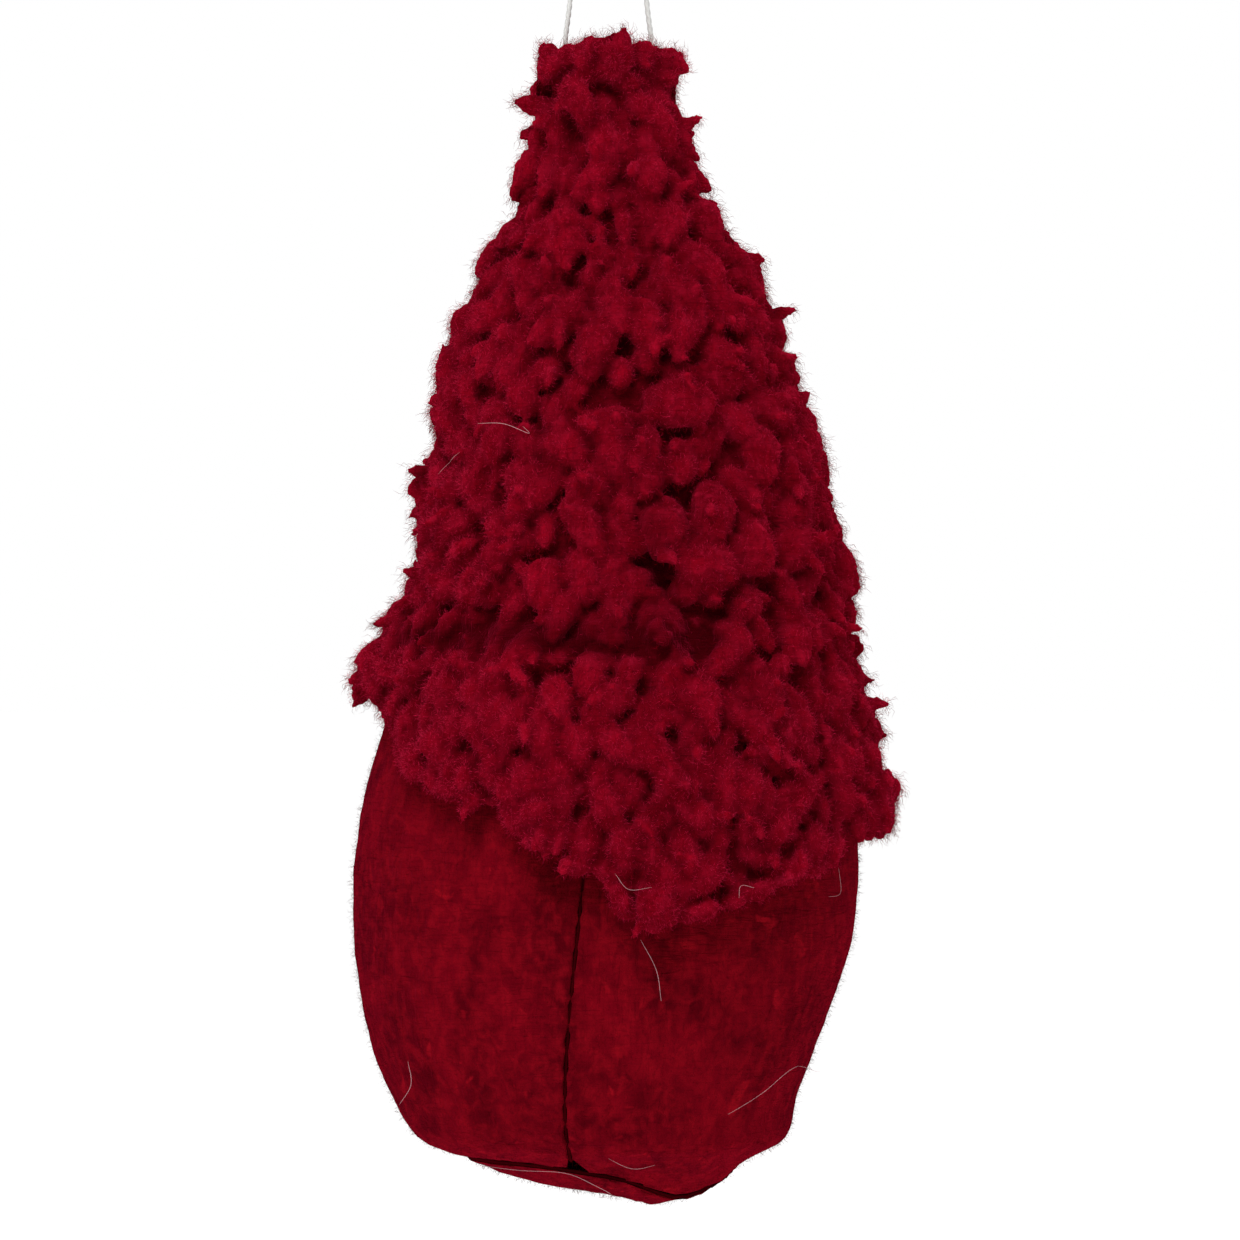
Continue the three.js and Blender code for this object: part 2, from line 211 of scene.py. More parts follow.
def object_noise(tree, scale, detail=2.0, stretch=(1, 1, 1), distortion=0.0):
    """Noise through the solid on Object coordinates, at so many lumps per metre."""
    place = tree.nodes.new("ShaderNodeTexCoord")
    mapping = tree.nodes.new("ShaderNodeMapping")
    mapping.inputs["Scale"].default_value = stretch
    texture = tree.nodes.new("ShaderNodeTexNoise")
    texture.inputs["Scale"].default_value = scale
    texture.inputs["Detail"].default_value = detail
    texture.inputs["Distortion"].default_value = distortion
    tree.links.new(place.outputs["Object"], mapping.inputs["Vector"])
    tree.links.new(mapping.outputs["Vector"], texture.inputs["Vector"])
    return texture


def ranged(tree, value, low, high, to_low=0.0, to_high=1.0):
    """A value spread from one range to another, and held within it."""
    node = tree.nodes.new("ShaderNodeMapRange")
    node.inputs["From Min"].default_value = low
    node.inputs["From Max"].default_value = high
    node.inputs["To Min"].default_value = to_low
    node.inputs["To Max"].default_value = to_high
    tree.links.new(value, node.inputs["Value"])
    return node.outputs["Result"]


def mixed(tree, share, first, second):
    """A colour between two colours. Each is a plain colour or another node's output."""
    node = tree.nodes.new("ShaderNodeMix")
    node.data_type = "RGBA"
    tree.links.new(share, node.inputs["Factor"])
    for socket, colour in ((node.inputs[6], first), (node.inputs[7], second)):
        if isinstance(colour, tuple):
            socket.default_value = (*colour, 1)
        else:
            tree.links.new(colour, socket)
    return node.outputs[2]


mottling, mottling_in, mottling_out = new_group(
    "wool_mottling", {}, ["Patches", "Flecks", "Specks"]
)
for label, scale, detail, low, high in (
    ("Patches", 110, 3, 0.38, 0.62),
    ("Flecks", 520, 3, 0.40, 0.66),
    ("Specks", 300, 2, 0.66, 0.74),
):
    patches = object_noise(mottling, scale, detail, (1, 1, 0.8), 0.6)
    result = ranged(mottling, patches.outputs["Fac"], low, high)
    mottling.links.new(result, mottling_out.inputs[label])

fibres, fibres_in, fibres_out = new_group("crossing_fibres", {}, ["Height"])
runs = [
    object_noise(fibres, 900, 3, stretch, 1.2).outputs["Fac"]
    for stretch in ((0.25, 0.25, 1.6), (1.6, 1.6, 0.3))
]
both = fibres.nodes.new("ShaderNodeMath")
both.operation = "ADD"
fibres.links.new(runs[0], both.inputs[0])
fibres.links.new(runs[1], both.inputs[1])
fibres.links.new(both.outputs[0], fibres_out.inputs["Height"])
print("groups:", [g.name for g in bpy.data.node_groups])


# %% [markdown]
# ## The wool finishes
# Wool scatters light and hardly shines, so it gets full roughness and almost no reflection.
# A white sheen would turn this deep red pink, so the pale haze is painted into the pale colours of the loose
# fibres instead.


# %% Make the wool finishes
def plain(name, colour, roughness=1.0, specular=0.0):
    """A matt material of one colour, for threads and loose fibres too thin to show a pattern."""
    material = bpy.data.materials.new(name)
    material.use_nodes = True
    shader = material.node_tree.nodes["Principled BSDF"]
    shader.inputs["Base Color"].default_value = (*colour, 1)
    shader.inputs["Roughness"].default_value = roughness
    shader.inputs["Specular IOR Level"].default_value = specular
    return material


def grouped(tree, group):
    node = tree.nodes.new("ShaderNodeGroup")
    node.node_tree = group
    return node


def bumped(tree, shader, height, distance, strength=1.0):
    bump = tree.nodes.new("ShaderNodeBump")
    bump.inputs["Distance"].default_value = distance
    bump.inputs["Strength"].default_value = strength
    tree.links.new(height, bump.inputs["Height"])
    tree.links.new(bump.outputs["Normal"], shader.inputs["Normal"])


def mottled_wool(name, deep, middle, bright, fleck_share, bump):
    """Dyed wool with darker and brighter patches, bright specks and a fibrous nap."""
    material = plain(name, middle)
    tree = material.node_tree
    shader = tree.nodes["Principled BSDF"]
    wool = grouped(tree, mottling)
    patches = mixed(tree, wool.outputs["Patches"], deep, middle)
    flecks = ranged(tree, wool.outputs["Flecks"], 0, 1, 0, fleck_share)
    flecked = mixed(tree, flecks, patches, bright)
    specks = mixed(tree, wool.outputs["Specks"], flecked, bright)
    tree.links.new(specks, shader.inputs["Base Color"])
    nap = grouped(tree, fibres)
    bumped(tree, shader, nap.outputs["Height"], bump)
    return material


def painted_gap_shade(material, deep, low, high):
    """Darkens a finish with painted shade in the gaps between locks, where its mesh's openness is low."""
    tree = material.node_tree
    shader = tree.nodes["Principled BSDF"]
    surface = shader.inputs["Base Color"].links[0].from_socket
    reading = tree.nodes.new("ShaderNodeAttribute")
    reading.attribute_name = "openness"
    share = ranged(tree, reading.outputs["Fac"], low, high)
    tree.links.new(mixed(tree, share, deep, surface), shader.inputs["Base Color"])


felt_red = mottled_wool(
    "felt_red", (0.076, 0.0006, 0.0036), (0.140, 0.0011, 0.0056), (0.23, 0.0028, 0.008), 0.55, 0.0005
)
fleece_red = mottled_wool(
    "fleece_red", (0.15, 0.0007, 0.0055), (0.235, 0.0014, 0.0095), (0.34, 0.0050, 0.024), 0.45, 0.0004
)
# Painted shade: the fleece turns a near-black red in the gaps between its locks.
painted_gap_shade(fleece_red, (0.042, 0.0003, 0.0018), -0.85, 0.75)
for wool, share in ((felt_red, 0.12), (fleece_red, 0.3)):
    wool_shader = wool.node_tree.nodes["Principled BSDF"]
    wool_shader.inputs["Sheen Weight"].default_value = share
    wool_shader.inputs["Sheen Roughness"].default_value = 0.45
    wool_shader.inputs["Sheen Tint"].default_value = (0.80, 0.02, 0.08, 1)
combed_fibres = [
    plain("fleece_fibre_deep", (0.17, 0.0008, 0.0070)),
    plain("fleece_fibre_middle", (0.44, 0.0055, 0.0260)),
    plain("fleece_fibre_bright", (0.85, 0.0500, 0.1300)),
]
# Painted glow: the fibres that stand off the locks are coloured pale rose for light shining through thin
# fibres.
standing_fibres_painted_pale = [
    plain("fleece_tip_red", (0.62, 0.0150, 0.0600)),
    plain("fleece_tip_rose", (0.90, 0.1000, 0.2000)),
    plain("fleece_tip_pale", (0.98, 0.3500, 0.4600)),
]
felt_fibres = [
    plain("felt_fibre_deep", (0.09, 0.0007, 0.004)),
    plain("felt_fibre_middle", (0.22, 0.0040, 0.014)),
    plain("felt_fibre_pale", (0.48, 0.0500, 0.090)),
]
thread_red = mottled_wool(
    "thread_red", (0.030, 0.0004, 0.0016), (0.044, 0.0006, 0.0022), (0.070, 0.001, 0.003), 0.3, 0.0001
)
print("wool finishes:", len(bpy.data.materials))

# %% [markdown]
# ## Studio
# A pale floor lies below the hanging ornament and a white room surrounds it. The room itself is
# the soft light. One large lamp from the upper side gives the locks their shape.

# %% Set the studio
FLOOR_DROP = 0.09  # how far the floor lies below the hanging base
ROOM_LIGHT = 0.42
bpy.ops.object.select_all(action="DESELECT")
bpy.ops.mesh.primitive_plane_add(size=24, location=(0, 0, BASE - FLOOR_DROP))
floor = bpy.context.object
floor.name = "floor"
floor_white = plain("floor_white", (0.93, 0.93, 0.93))
floor_tree = floor_white.node_tree
floor_glow = floor_tree.nodes.new("ShaderNodeEmission")
floor_glow.inputs["Strength"].default_value = 1.12
floor_ray = floor_tree.nodes.new("ShaderNodeLightPath")
floor_share = ranged(floor_tree, floor_ray.outputs["Is Camera Ray"], 0, 1, 0, 0.85)
floor_mix = floor_tree.nodes.new("ShaderNodeMixShader")
floor_tree.links.new(floor_share, floor_mix.inputs["Fac"])
floor_tree.links.new(floor_tree.nodes["Principled BSDF"].outputs[0], floor_mix.inputs[1])
floor_tree.links.new(floor_glow.outputs[0], floor_mix.inputs[2])
floor_tree.links.new(floor_mix.outputs[0], floor_tree.nodes["Material Output"].inputs["Surface"])
floor.data.materials.append(floor_white)

room = bpy.data.worlds.new("white_room")
scene.world = room
room.use_nodes = True
room_nodes = room.node_tree.nodes
light_seen = room_nodes["Background"]
light_seen.inputs["Color"].default_value = (1, 1, 1, 1)
light_seen.inputs["Strength"].default_value = 1.0
light_given = room_nodes.new("ShaderNodeBackground")
light_given.inputs["Color"].default_value = (1, 1, 1, 1)
light_given.inputs["Strength"].default_value = ROOM_LIGHT
ray_kind = room_nodes.new("ShaderNodeLightPath")
room_mix = room_nodes.new("ShaderNodeMixShader")
room.node_tree.links.new(ray_kind.outputs["Is Camera Ray"], room_mix.inputs["Fac"])
room.node_tree.links.new(light_given.outputs[0], room_mix.inputs[1])
room.node_tree.links.new(light_seen.outputs[0], room_mix.inputs[2])
room.node_tree.links.new(room_mix.outputs[0], room_nodes["World Output"].inputs["Surface"])


def soft_lamp(name, place, size, power):
    """A square lamp that faces the middle of the ornament."""
    lamp = bpy.data.objects.new(name, bpy.data.lights.new(name, "AREA"))
    scene.collection.objects.link(lamp)
    lamp.data.size = size
    lamp.data.energy = power
    lamp.location = place
    aim = Vector((0, 0, CAMERA_MIDDLE[1])) - Vector(place)
    lamp.rotation_euler = aim.to_track_quat("-Z", "Y").to_euler()


soft_lamp("back_key", (0.28, 0.92, 0.95), 0.7, 18)
soft_lamp("face_key", (-0.35, -0.95, 0.90), 0.7, 17)
scene.view_settings.view_transform = "Standard"
print("studio: floor at", round(floor.location.z, 4))

# %% [markdown]
# ## The cord
# The hanging loop is thin two-ply cord. It leaves the flat top of the hat at both ends, runs up
# side by side and turns over the hook. Its two plies are modelled by turning a two-lobed
# section along the route, so the twist is real shape and catches the light.

# %% Lay the cord
CORD_DIAMETER = 0.75 * MM
CORD_TWIST = 2.4 * MM  # one full turn of the two plies
half_route = [
    (6.25, -53.6), (5.55, -48), (5.1, -42), (4.6, -35), (4.1, -28), (3.6, -21),
    (3.1, -14.5), (2.7, -9), (2.4, -5), (2.05, -2.4), (1.2, -0.6),
]
loop_points = [*half_route, (0, 0), *[(-x, z) for x, z in reversed(half_route)]]
tail_points = [(6.25, -53.3), (6.2, -54.7), (6, -57.7), (4.4, -62.7), (2, -67.7), (0.3, -70.6)]


def smooth_line(points, step):
    """Even points along a smooth curve through these [x, z] points, in metres."""
    ends = [2 * np.array(points[0]) - points[1], 2 * np.array(points[-1]) - points[-2]]
    knots = np.array([ends[0], *points, ends[1]]) * MM
    line = []
    for before, start, stop, after in zip(knots, knots[1:], knots[2:], knots[3:]):
        for share in np.linspace(0, 1, 16, endpoint=False):
            line.append(
                0.5 * (2 * start + (stop - before) * share
                       + (2 * before - 5 * start + 4 * stop - after) * share**2
                       + (3 * start - before - 3 * stop + after) * share**3)
            )
    line = np.array([*line, knots[-2]])
    along = np.concatenate([[0], np.cumsum(np.linalg.norm(np.diff(line, axis=0), axis=1))])
    stops = np.linspace(0, along[-1], int(along[-1] / step) + 1)
    even = np.stack([np.interp(stops, along, line[:, 0]), np.interp(stops, along, line[:, 1])], 1)
    return np.stack([even[:, 0], np.zeros(len(even)), even[:, 1]], 1), along[-1]


def twisted_cord(name, line, diameter, twist, sides=12):
    """A closed tube along a line in the XZ plane, with a two-lobed section that turns."""
    ahead = np.gradient(line, axis=0)
    ahead /= np.linalg.norm(ahead, axis=1)[:, None]
    out_of_plane = np.tile([0.0, 1.0, 0.0], (len(line), 1))
    across = np.cross(ahead, out_of_plane)
    along = np.concatenate([[0], np.cumsum(np.linalg.norm(np.diff(line, axis=0), axis=1))])
    turn = 2 * math.pi * along / twist
    angle = np.arange(sides) * 2 * math.pi / sides
    rows = []
    for i in range(len(line)):
        reach = diameter / 2 * (0.78 + 0.26 * np.abs(np.cos(angle - turn[i])))
        rows.append(line[i] + reach[:, None] * (np.cos(angle)[:, None] * across[i]
                                                + np.sin(angle)[:, None] * out_of_plane[i]))
    places = np.concatenate(rows)
    faces = [
        (i * sides + j, i * sides + (j + 1) % sides, (i + 1) * sides + (j + 1) % sides,
         (i + 1) * sides + j)
        for i in range(len(line) - 1) for j in range(sides)
    ]
    faces.append(tuple(reversed(range(sides))))
    faces.append(tuple(range(len(places) - sides, len(places))))
    mesh = bpy.data.meshes.new(name)
    mesh.from_pydata(places.tolist(), [], faces)
    piece = bpy.data.objects.new(name, mesh)
    scene.collection.objects.link(piece)
    alone(piece)
    bpy.ops.object.mode_set(mode="EDIT")
    bpy.ops.mesh.select_all(action="SELECT")
    bpy.ops.mesh.normals_make_consistent(inside=False)
    bpy.ops.object.mode_set(mode="OBJECT")
    smooth(piece)
    return piece


cord_grey = plain("cord_pale", (0.60, 0.60, 0.58), 0.7, 0.2)
loop_line, loop_length = smooth_line(loop_points, 0.2 * MM)
loop_cord = twisted_cord("loop_cord", loop_line, CORD_DIAMETER, CORD_TWIST)
finished(loop_cord, "hanger", cord_grey, "pale_cord", "hanging_loop")

tails = []
tail_length = 0
for side in (1, -1):
    line, tail_length = smooth_line([(side * x, z) for x, z in tail_points], 0.3 * MM)
    tails.append(twisted_cord(f"tail_{side}", line, CORD_DIAMETER, CORD_TWIST))
bpy.ops.mesh.primitive_torus_add(
    major_radius=0.85 * MM, minor_radius=0.55 * MM, major_segments=24, minor_segments=12,
    location=(0, 0, -70.6 * MM), rotation=(math.pi / 2, 0.5, 0),
)
bpy.ops.object.transform_apply(location=True, rotation=True, scale=True)
knot_turn = bpy.context.object
smooth(knot_turn)
alone(tails[0])
tails[1].select_set(True)
knot_turn.select_set(True)
bpy.ops.object.join()
knot_and_tails = tails[0]
knot_and_tails.name = "cord_tails_and_knot"
finished(knot_and_tails, "gnome", cord_grey, "pale_cord", "cord_knot")
print("loop", round(loop_length * 1000, 1), "mm, each tail", round(tail_length * 1000, 1), "mm")

# %% [markdown]
# ## Loose fibres
# Wool always has a halo of fine loose fibres. They could be particle hair, but that would not
# be part of the mesh. Here each fibre is one slim closed spindle of six faces with a kink in its
# middle, modelled once. Many copies are turned and stretched from random places on a surface.


# %% Define the fibre maker
def surface_of(piece):
    """The corners, triangles, areas and outward normals of a mesh."""
    places = corners_of(piece)
    piece.data.calc_loop_triangles()
    faces = np.empty(len(piece.data.loop_triangles) * 3, int)
    piece.data.loop_triangles.foreach_get("vertices", faces)
    faces = faces.reshape(-1, 3)
    a, b, c = (places[faces[:, i]] for i in range(3))
    normals = np.cross(b - a, c - a)
    doubled = np.linalg.norm(normals, axis=1)
    return places, faces, doubled / 2, normals / np.maximum(doubled, 1e-15)[:, None]


def roots_on(piece, count, chance, keep=None):
    """Random roots on a mesh with their normals. keep picks faces by their middles."""
    places, faces, areas, normals = surface_of(piece)
    if keep is not None:
        middles = places[faces].mean(axis=1)
        areas = areas * keep(middles, normals)
    if "openness" in piece.data.attributes:
        openness = np.empty(len(places))
        piece.data.attributes["openness"].data.foreach_get("value", openness)
        areas = areas * np.clip(0.45 + 0.9 * openness[faces].mean(axis=1), 0.02, 1)
    picks = chance.choice(len(faces), size=count, p=areas / areas.sum())
    u, v = chance.random(count), chance.random(count)
    fold = u + v > 1
    u[fold], v[fold] = 1 - u[fold], 1 - v[fold]
    a, b, c = (places[faces[picks, i]] for i in range(3))
    return a + (b - a) * u[:, None] + (c - a) * v[:, None], normals[picks]


def unit(rows):
    return rows / np.maximum(np.linalg.norm(rows, axis=1), 1e-12)[:, None]


def mesh_of(name, places, faces):
    """A new piece from rows of corners and rows of equal-sided faces."""
    mesh = bpy.data.meshes.new(name)
    sides = faces.shape[1]
    mesh.vertices.add(len(places))
    mesh.vertices.foreach_set("co", places.ravel())
    mesh.loops.add(faces.size)
    mesh.loops.foreach_set("vertex_index", faces.ravel().astype(np.int32))
    mesh.polygons.add(len(faces))
    mesh.polygons.foreach_set("loop_start", (np.arange(len(faces)) * sides).astype(np.int32))
    mesh.update(calc_edges=True)
    piece = bpy.data.objects.new(name, mesh)
    scene.collection.objects.link(piece)
    return piece


def fibres_from(name, roots, ways, lengths, thickness, chance, kink, shares, arch=0):
    """Slim closed fibres from these roots. Each runs its way and kinks once in its middle."""
    count = len(roots)
    side = unit(np.cross(ways, chance.normal(size=(count, 3))))
    other = np.cross(ways, side)
    bend = chance.uniform(-kink, kink, (count, 1)) * lengths[:, None]
    middle = roots + ways * lengths[:, None] * 0.5 + side * bend + arch
    tips = roots + ways * lengths[:, None]
    rows = [roots, *[
        middle + thickness / 2 * (math.cos(turn) * side + math.sin(turn) * other)
        for turn in (0, 2 * math.pi / 3, 4 * math.pi / 3)
    ], tips]
    places = np.stack(rows, axis=1).reshape(-1, 3)
    one = np.array([(0, 2, 1), (0, 3, 2), (0, 1, 3), (4, 1, 2), (4, 2, 3), (4, 3, 1)])
    faces = (one[None] + 5 * np.arange(count)[:, None, None]).reshape(-1, 3)
    piece = mesh_of(name, places, faces)
    shade = np.repeat(chance.choice(3, size=count, p=shares), len(one))
    piece.data.polygons.foreach_set("material_index", shade.astype(np.int32))
    smooth(piece)
    return piece


# %% [markdown]
# ## The felt body
# The body is a bag of two felt panels and an oval base, sewn edge to edge and stuffed firm. The
# stuffing swells the felt between its seams, and the stitches hold the edges down, so every
# seam is a sharp little valley. A cloth simulation gives the swelling: each panel's outer face
# is blown up gently with its edges pinned. Then the edges are drawn in to the sewing thread.

# %% Swell the felt panels
SIM_SCALE = 8  # the cloth solver is tuned for things of furniture size
SIM_FRAMES = 20
MOST_SWELL = 1.4 * MM
BOTTOM_ROUND = 1.4 * MM  # how far the stuffing bulges over the base seam
BASE_TUCK = 0.12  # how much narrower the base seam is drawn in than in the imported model
SEAM_DIP = 1.6 * MM  # how far the base seam dips where it runs round to the underside
RIM_TAPER = 0.042  # how fast the base's rim draws in below its seam


def outer_face_only(piece, least):
    """Keeps the faces that look outwards from the body's upright middle line."""
    places, faces = corners_of(piece), piece.data.polygons
    alone(piece)
    bpy.ops.object.mode_set(mode="EDIT")
    bpy.ops.mesh.select_all(action="DESELECT")
    bpy.ops.object.mode_set(mode="OBJECT")
    for face in faces:
        middle = Vector((face.center.x, face.center.y, 0)).normalized()
        face.select = face.normal.dot(middle) < least
    bpy.ops.object.mode_set(mode="EDIT")
    bpy.ops.mesh.select_mode(type="FACE")
    bpy.ops.mesh.delete(type="FACE")
    bpy.ops.object.mode_set(mode="OBJECT")


def edge_corners(piece):
    """The corners on a sheet's open edge."""
    used = {}
    for face in piece.data.polygons:
        for key in face.edge_keys:
            used[key] = used.get(key, 0) + 1
    return sorted({corner for key, times in used.items() if times == 1 for corner in key})


def swollen(piece, pressure):
    """Blows a pinned sheet up by cloth simulation, and caps how far it moves."""
    before = corners_of(piece)
    pins = piece.vertex_groups.new(name="pins")
    pins.add(edge_corners(piece), 1.0, "REPLACE")
    move_corners(piece, before * SIM_SCALE)
    cloth = piece.modifiers.new("cloth", "CLOTH")
    cloth.settings.quality = 6
    cloth.settings.vertex_group_mass = "pins"
    cloth.settings.effector_weights.gravity = 0
    cloth.settings.use_pressure = True
    cloth.settings.uniform_pressure_force = pressure
    cloth.settings.tension_stiffness = 25
    cloth.settings.compression_stiffness = 25
    cloth.settings.bending_stiffness = 2
    cloth.point_cache.frame_end = SIM_FRAMES
    for step in range(1, SIM_FRAMES + 1):
        scene.frame_set(step)
    blown = piece.evaluated_get(bpy.context.evaluated_depsgraph_get())
    after = np.array([corner.co for corner in blown.data.vertices]) / SIM_SCALE
    piece.modifiers.remove(cloth)
    piece.vertex_groups.clear()
    moved = after - before
    far = np.linalg.norm(moved, axis=1)
    print(piece.name, "swells by", round(far.max() * 1000, 2), "mm at most")
    share = np.minimum(1, MOST_SWELL / np.maximum(far, 1e-9))
    move_corners(piece, before + moved * share[:, None])
    scene.frame_set(1)


def thread_points(thread):
    """The middle line of a sewing thread, as a search tree over its corners."""
    places = np.unique(np.round(corners_of(thread), 6), axis=0)
    tree = kdtree.KDTree(len(places))
    for i, place in enumerate(places):
        tree.insert(place, i)
    tree.balance()
    return tree


def seam_dip(places):
    """Where the base seam dips out of sight, at the back on the gnome's right: 0 to 1."""
    return bell(places[:, 0] / MM, -12.0, 6.0) * step_up(places[:, 1] / MM, 0, 7)


def tucked_under(places):
    """Draws everything near the base seam in under the body, as the stuffing's weight does."""
    low = 1 - step_up((places[:, 2] - BASE) / MM, 5.0, 8.5)
    places = places.copy()
    places[:, 2] -= SEAM_DIP * low * seam_dip(places)
    places[:, :2] *= (1 - BASE_TUCK * low)[:, None]
    return places


base_thread = copy_of("base_seam_thread", "base_thread")
move_corners(base_thread, tucked_under(corners_of(base_thread)))
smooth(base_thread)
finished(base_thread, "gnome", thread_red, "red_thread", "base_seam_thread")
SEAM_THREADS = [
    thread_points(thread)
    for thread in (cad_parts["back_seam_thread"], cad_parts["front_seam_thread"], base_thread)
]
STITCH = 3.1 * MM
SEAM_LIP = 0.45 * MM  # how far outside its thread a seam's two edges meet


def drawn_in(piece, reach, pull):
    """Draws the felt near each seam towards the seam's thread, stitch by stitch."""
    places = corners_of(piece)
    for i, place in enumerate(places):
        for tree in SEAM_THREADS:
            thread, _, far = tree.find(place)
            if far > 4 * reach:
                continue
            along = thread.z if tree is not SEAM_THREADS[2] else math.atan2(thread.y, thread.x) * 0.02
            stitch = 1 + 0.22 * math.sin(2 * math.pi * along / STITCH)
            share = pull * math.exp(-((max(far - 1.1 * MM, 0) / reach) ** 2)) * stitch
            away = Vector((thread.x, thread.y, 0)).normalized()
            lip = thread + away * SEAM_LIP
            places[i] = place + (np.array(lip) - place) * min(share, 0.93)
    move_corners(piece, places)


def round_over_base(piece):
    """Bulges the felt a little over the base seam, but not next to the upright seams."""
    places = corners_of(piece)
    near_base = np.exp(-((((places[:, 2] - BASE) / MM - 8.5) / 4) ** 2))
    for i in np.flatnonzero(near_base > 0.01):
        seam_far = min(tree.find(places[i])[2] for tree in SEAM_THREADS[:2])
        share = min(max((seam_far - 2.5 * MM) / (7 * MM), 0), 1)
        away = Vector((places[i, 0], places[i, 1], 0)).normalized()
        places[i] += np.array(away) * (BOTTOM_ROUND * near_base[i] * share)
    move_corners(piece, places)


felt_panels = []
for side in ("left", "right"):
    panel = copy_of(f"body_{side}_panel", f"felt_{side}")
    outer_face_only(panel, 0.25)
    subdivided(panel, 2)
    swollen(panel, 5.0)
    subdivided(panel, 1)
    move_corners(panel, tucked_under(corners_of(panel)))
    round_over_base(panel)
    drawn_in(panel, 0.9 * MM, 0.86)
    apply_modifier(panel, "SOLIDIFY", thickness=1.4 * MM, offset=-1)
    lumpy(panel, 7 * MM, 0.5 * MM)
    lumpy(panel, 1.6 * MM, 0.22 * MM)
    smooth(panel)
    finished(panel, "gnome", felt_red, "red_felt", f"body_{side}_panel")
    felt_panels.append(panel)

base = copy_of("base_panel", "felt_base")
subdivided(base, 2)
places = tucked_under(corners_of(base))
seam_height = np.array([SEAM_THREADS[2].find(place)[0].z for place in places])
rim_drop = np.clip((seam_height - 0.3 * MM - places[:, 2]) / MM, 0, 2)
places[:, :2] *= (1 - RIM_TAPER * rim_drop**1.5)[:, None]
rim_lift = 0.025 * np.clip(places[:, 0], 0, None) + 0.2 * MM + 0.5 * SEAM_DIP * seam_dip(places)
places[:, 2] += rim_drop * rim_lift
move_corners(base, places)
drawn_in(base, 1.3 * MM, 0.9)
lumpy(base, 6 * MM, 0.4 * MM)
lumpy(base, 1.6 * MM, 0.2 * MM)
smooth(base)
finished(base, "gnome", felt_red, "red_felt", "base_panel")
felt_panels.append(base)

# %% [markdown]
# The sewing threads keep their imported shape, deep in the seams. They get a dark thread finish
# with the same crossing fibres as the felt, which at this size reads as twist.

# %% Finish the sewing threads
THREADS = (
    "back_seam_thread", "front_seam_thread",
    "hat_seam_thread_left", "hat_seam_thread_right", "neck_tie",
)
for node in THREADS:
    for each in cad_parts[node].material_slots:
        each.material = thread_red
print("threads:", len(THREADS))

# %% [markdown]
# ## The nap of the felt
# Short fibres stand off the felt at a slant and soften its outline. They lie mostly along the
# surface, because felting has pressed them down.


# %% Raise the nap
def nap_on(piece, name, count, seed, low, high, thickness, lift, shares, keep=None):
    """Loose fibres all over a piece, each its own way."""
    chance = np.random.default_rng(seed)
    roots, normals = roots_on(piece, count, chance, keep)
    ways = unit(normals * lift + chance.normal(size=roots.shape) * 0.55)
    lengths = chance.uniform(low, high, count)
    return fibres_from(name, roots - normals * 0.1 * MM, ways, lengths, thickness, chance, 0.35, shares)


def outward(middles, normals):
    """Faces that look away from the upright middle line."""
    return (middles[:, 0] * normals[:, 0] + middles[:, 1] * normals[:, 1]) > 0


def rubbed(middles, normals):
    """The patch beside the top of the back seam, where handling has raised the fibres."""
    across = middles[:, 0] / MM
    height = (middles[:, 2] - BASE) / MM
    worn = np.exp(-(((across - 6.5) / 4.0) ** 2) - ((height - 50) / 5.5) ** 2)
    return worn * (across > 0.6) * (middles[:, 1] > 0) * outward(middles, normals)


for number, panel in enumerate(felt_panels):
    count = (16000, 16000, 3500)[number]
    keep = outward if number < 2 else None
    nap = nap_on(
        panel, panel.name + "_nap", count, 40 + number, 0.5 * MM, 1.5 * MM, 0.036 * MM, 0.45,
        (0.3, 0.45, 0.25), keep,
    )
    finished(nap, "gnome", felt_fibres, "red_felt")
worn_nap = nap_on(
    felt_panels[0], "rubbed_nap", 2600, 49, 0.6 * MM, 1.8 * MM, 0.03 * MM, 0.3, (0.1, 0.3, 0.6), rubbed
)
finished(worn_nap, "gnome", felt_fibres, "red_felt")

# %% [markdown]
# ## The fleece hat
# The hat is curly fleece: a knitted ground with thick soft locks all over it. A bumpy surface
# alone would look like stucco, because real locks droop over one another and leave deep dark
# gaps. So one lock is modelled as a small bent body, and thousands of copies are planted on
# the ground, each with its own size, lean and curl. A voxel remesh then felts them together.

# %% Model one lock
LOCK_RINGS = 8
LOCK_SIDES = 9
bpy.ops.object.select_all(action="DESELECT")
bpy.ops.mesh.primitive_uv_sphere_add(segments=LOCK_SIDES, ring_count=LOCK_RINGS, radius=0.5)
lock = bpy.context.object
lock.name = "one_lock"
lock_places = corners_of(lock)
lock_faces = []
for face in lock.data.polygons:
    around = list(face.vertices)
    lock_faces.append((*around, around[-1]) if len(around) == 3 else tuple(around))
lock_faces = np.array(lock_faces)
bpy.data.objects.remove(lock)
print("one lock:", len(lock_places), "corners,", len(lock_faces), "faces")


# %% Define the planting of locks
def triangles(faces):
    """Quads as pairs of triangles, without the ones that have no width."""
    halves = np.concatenate([faces[:, [0, 1, 2]], faces[:, [0, 2, 3]]])
    wide = (halves[:, 0] != halves[:, 1]) & (halves[:, 1] != halves[:, 2]) & (halves[:, 0] != halves[:, 2])
    return halves[wide]


LOCK_TRIANGLES = triangles(lock_faces)


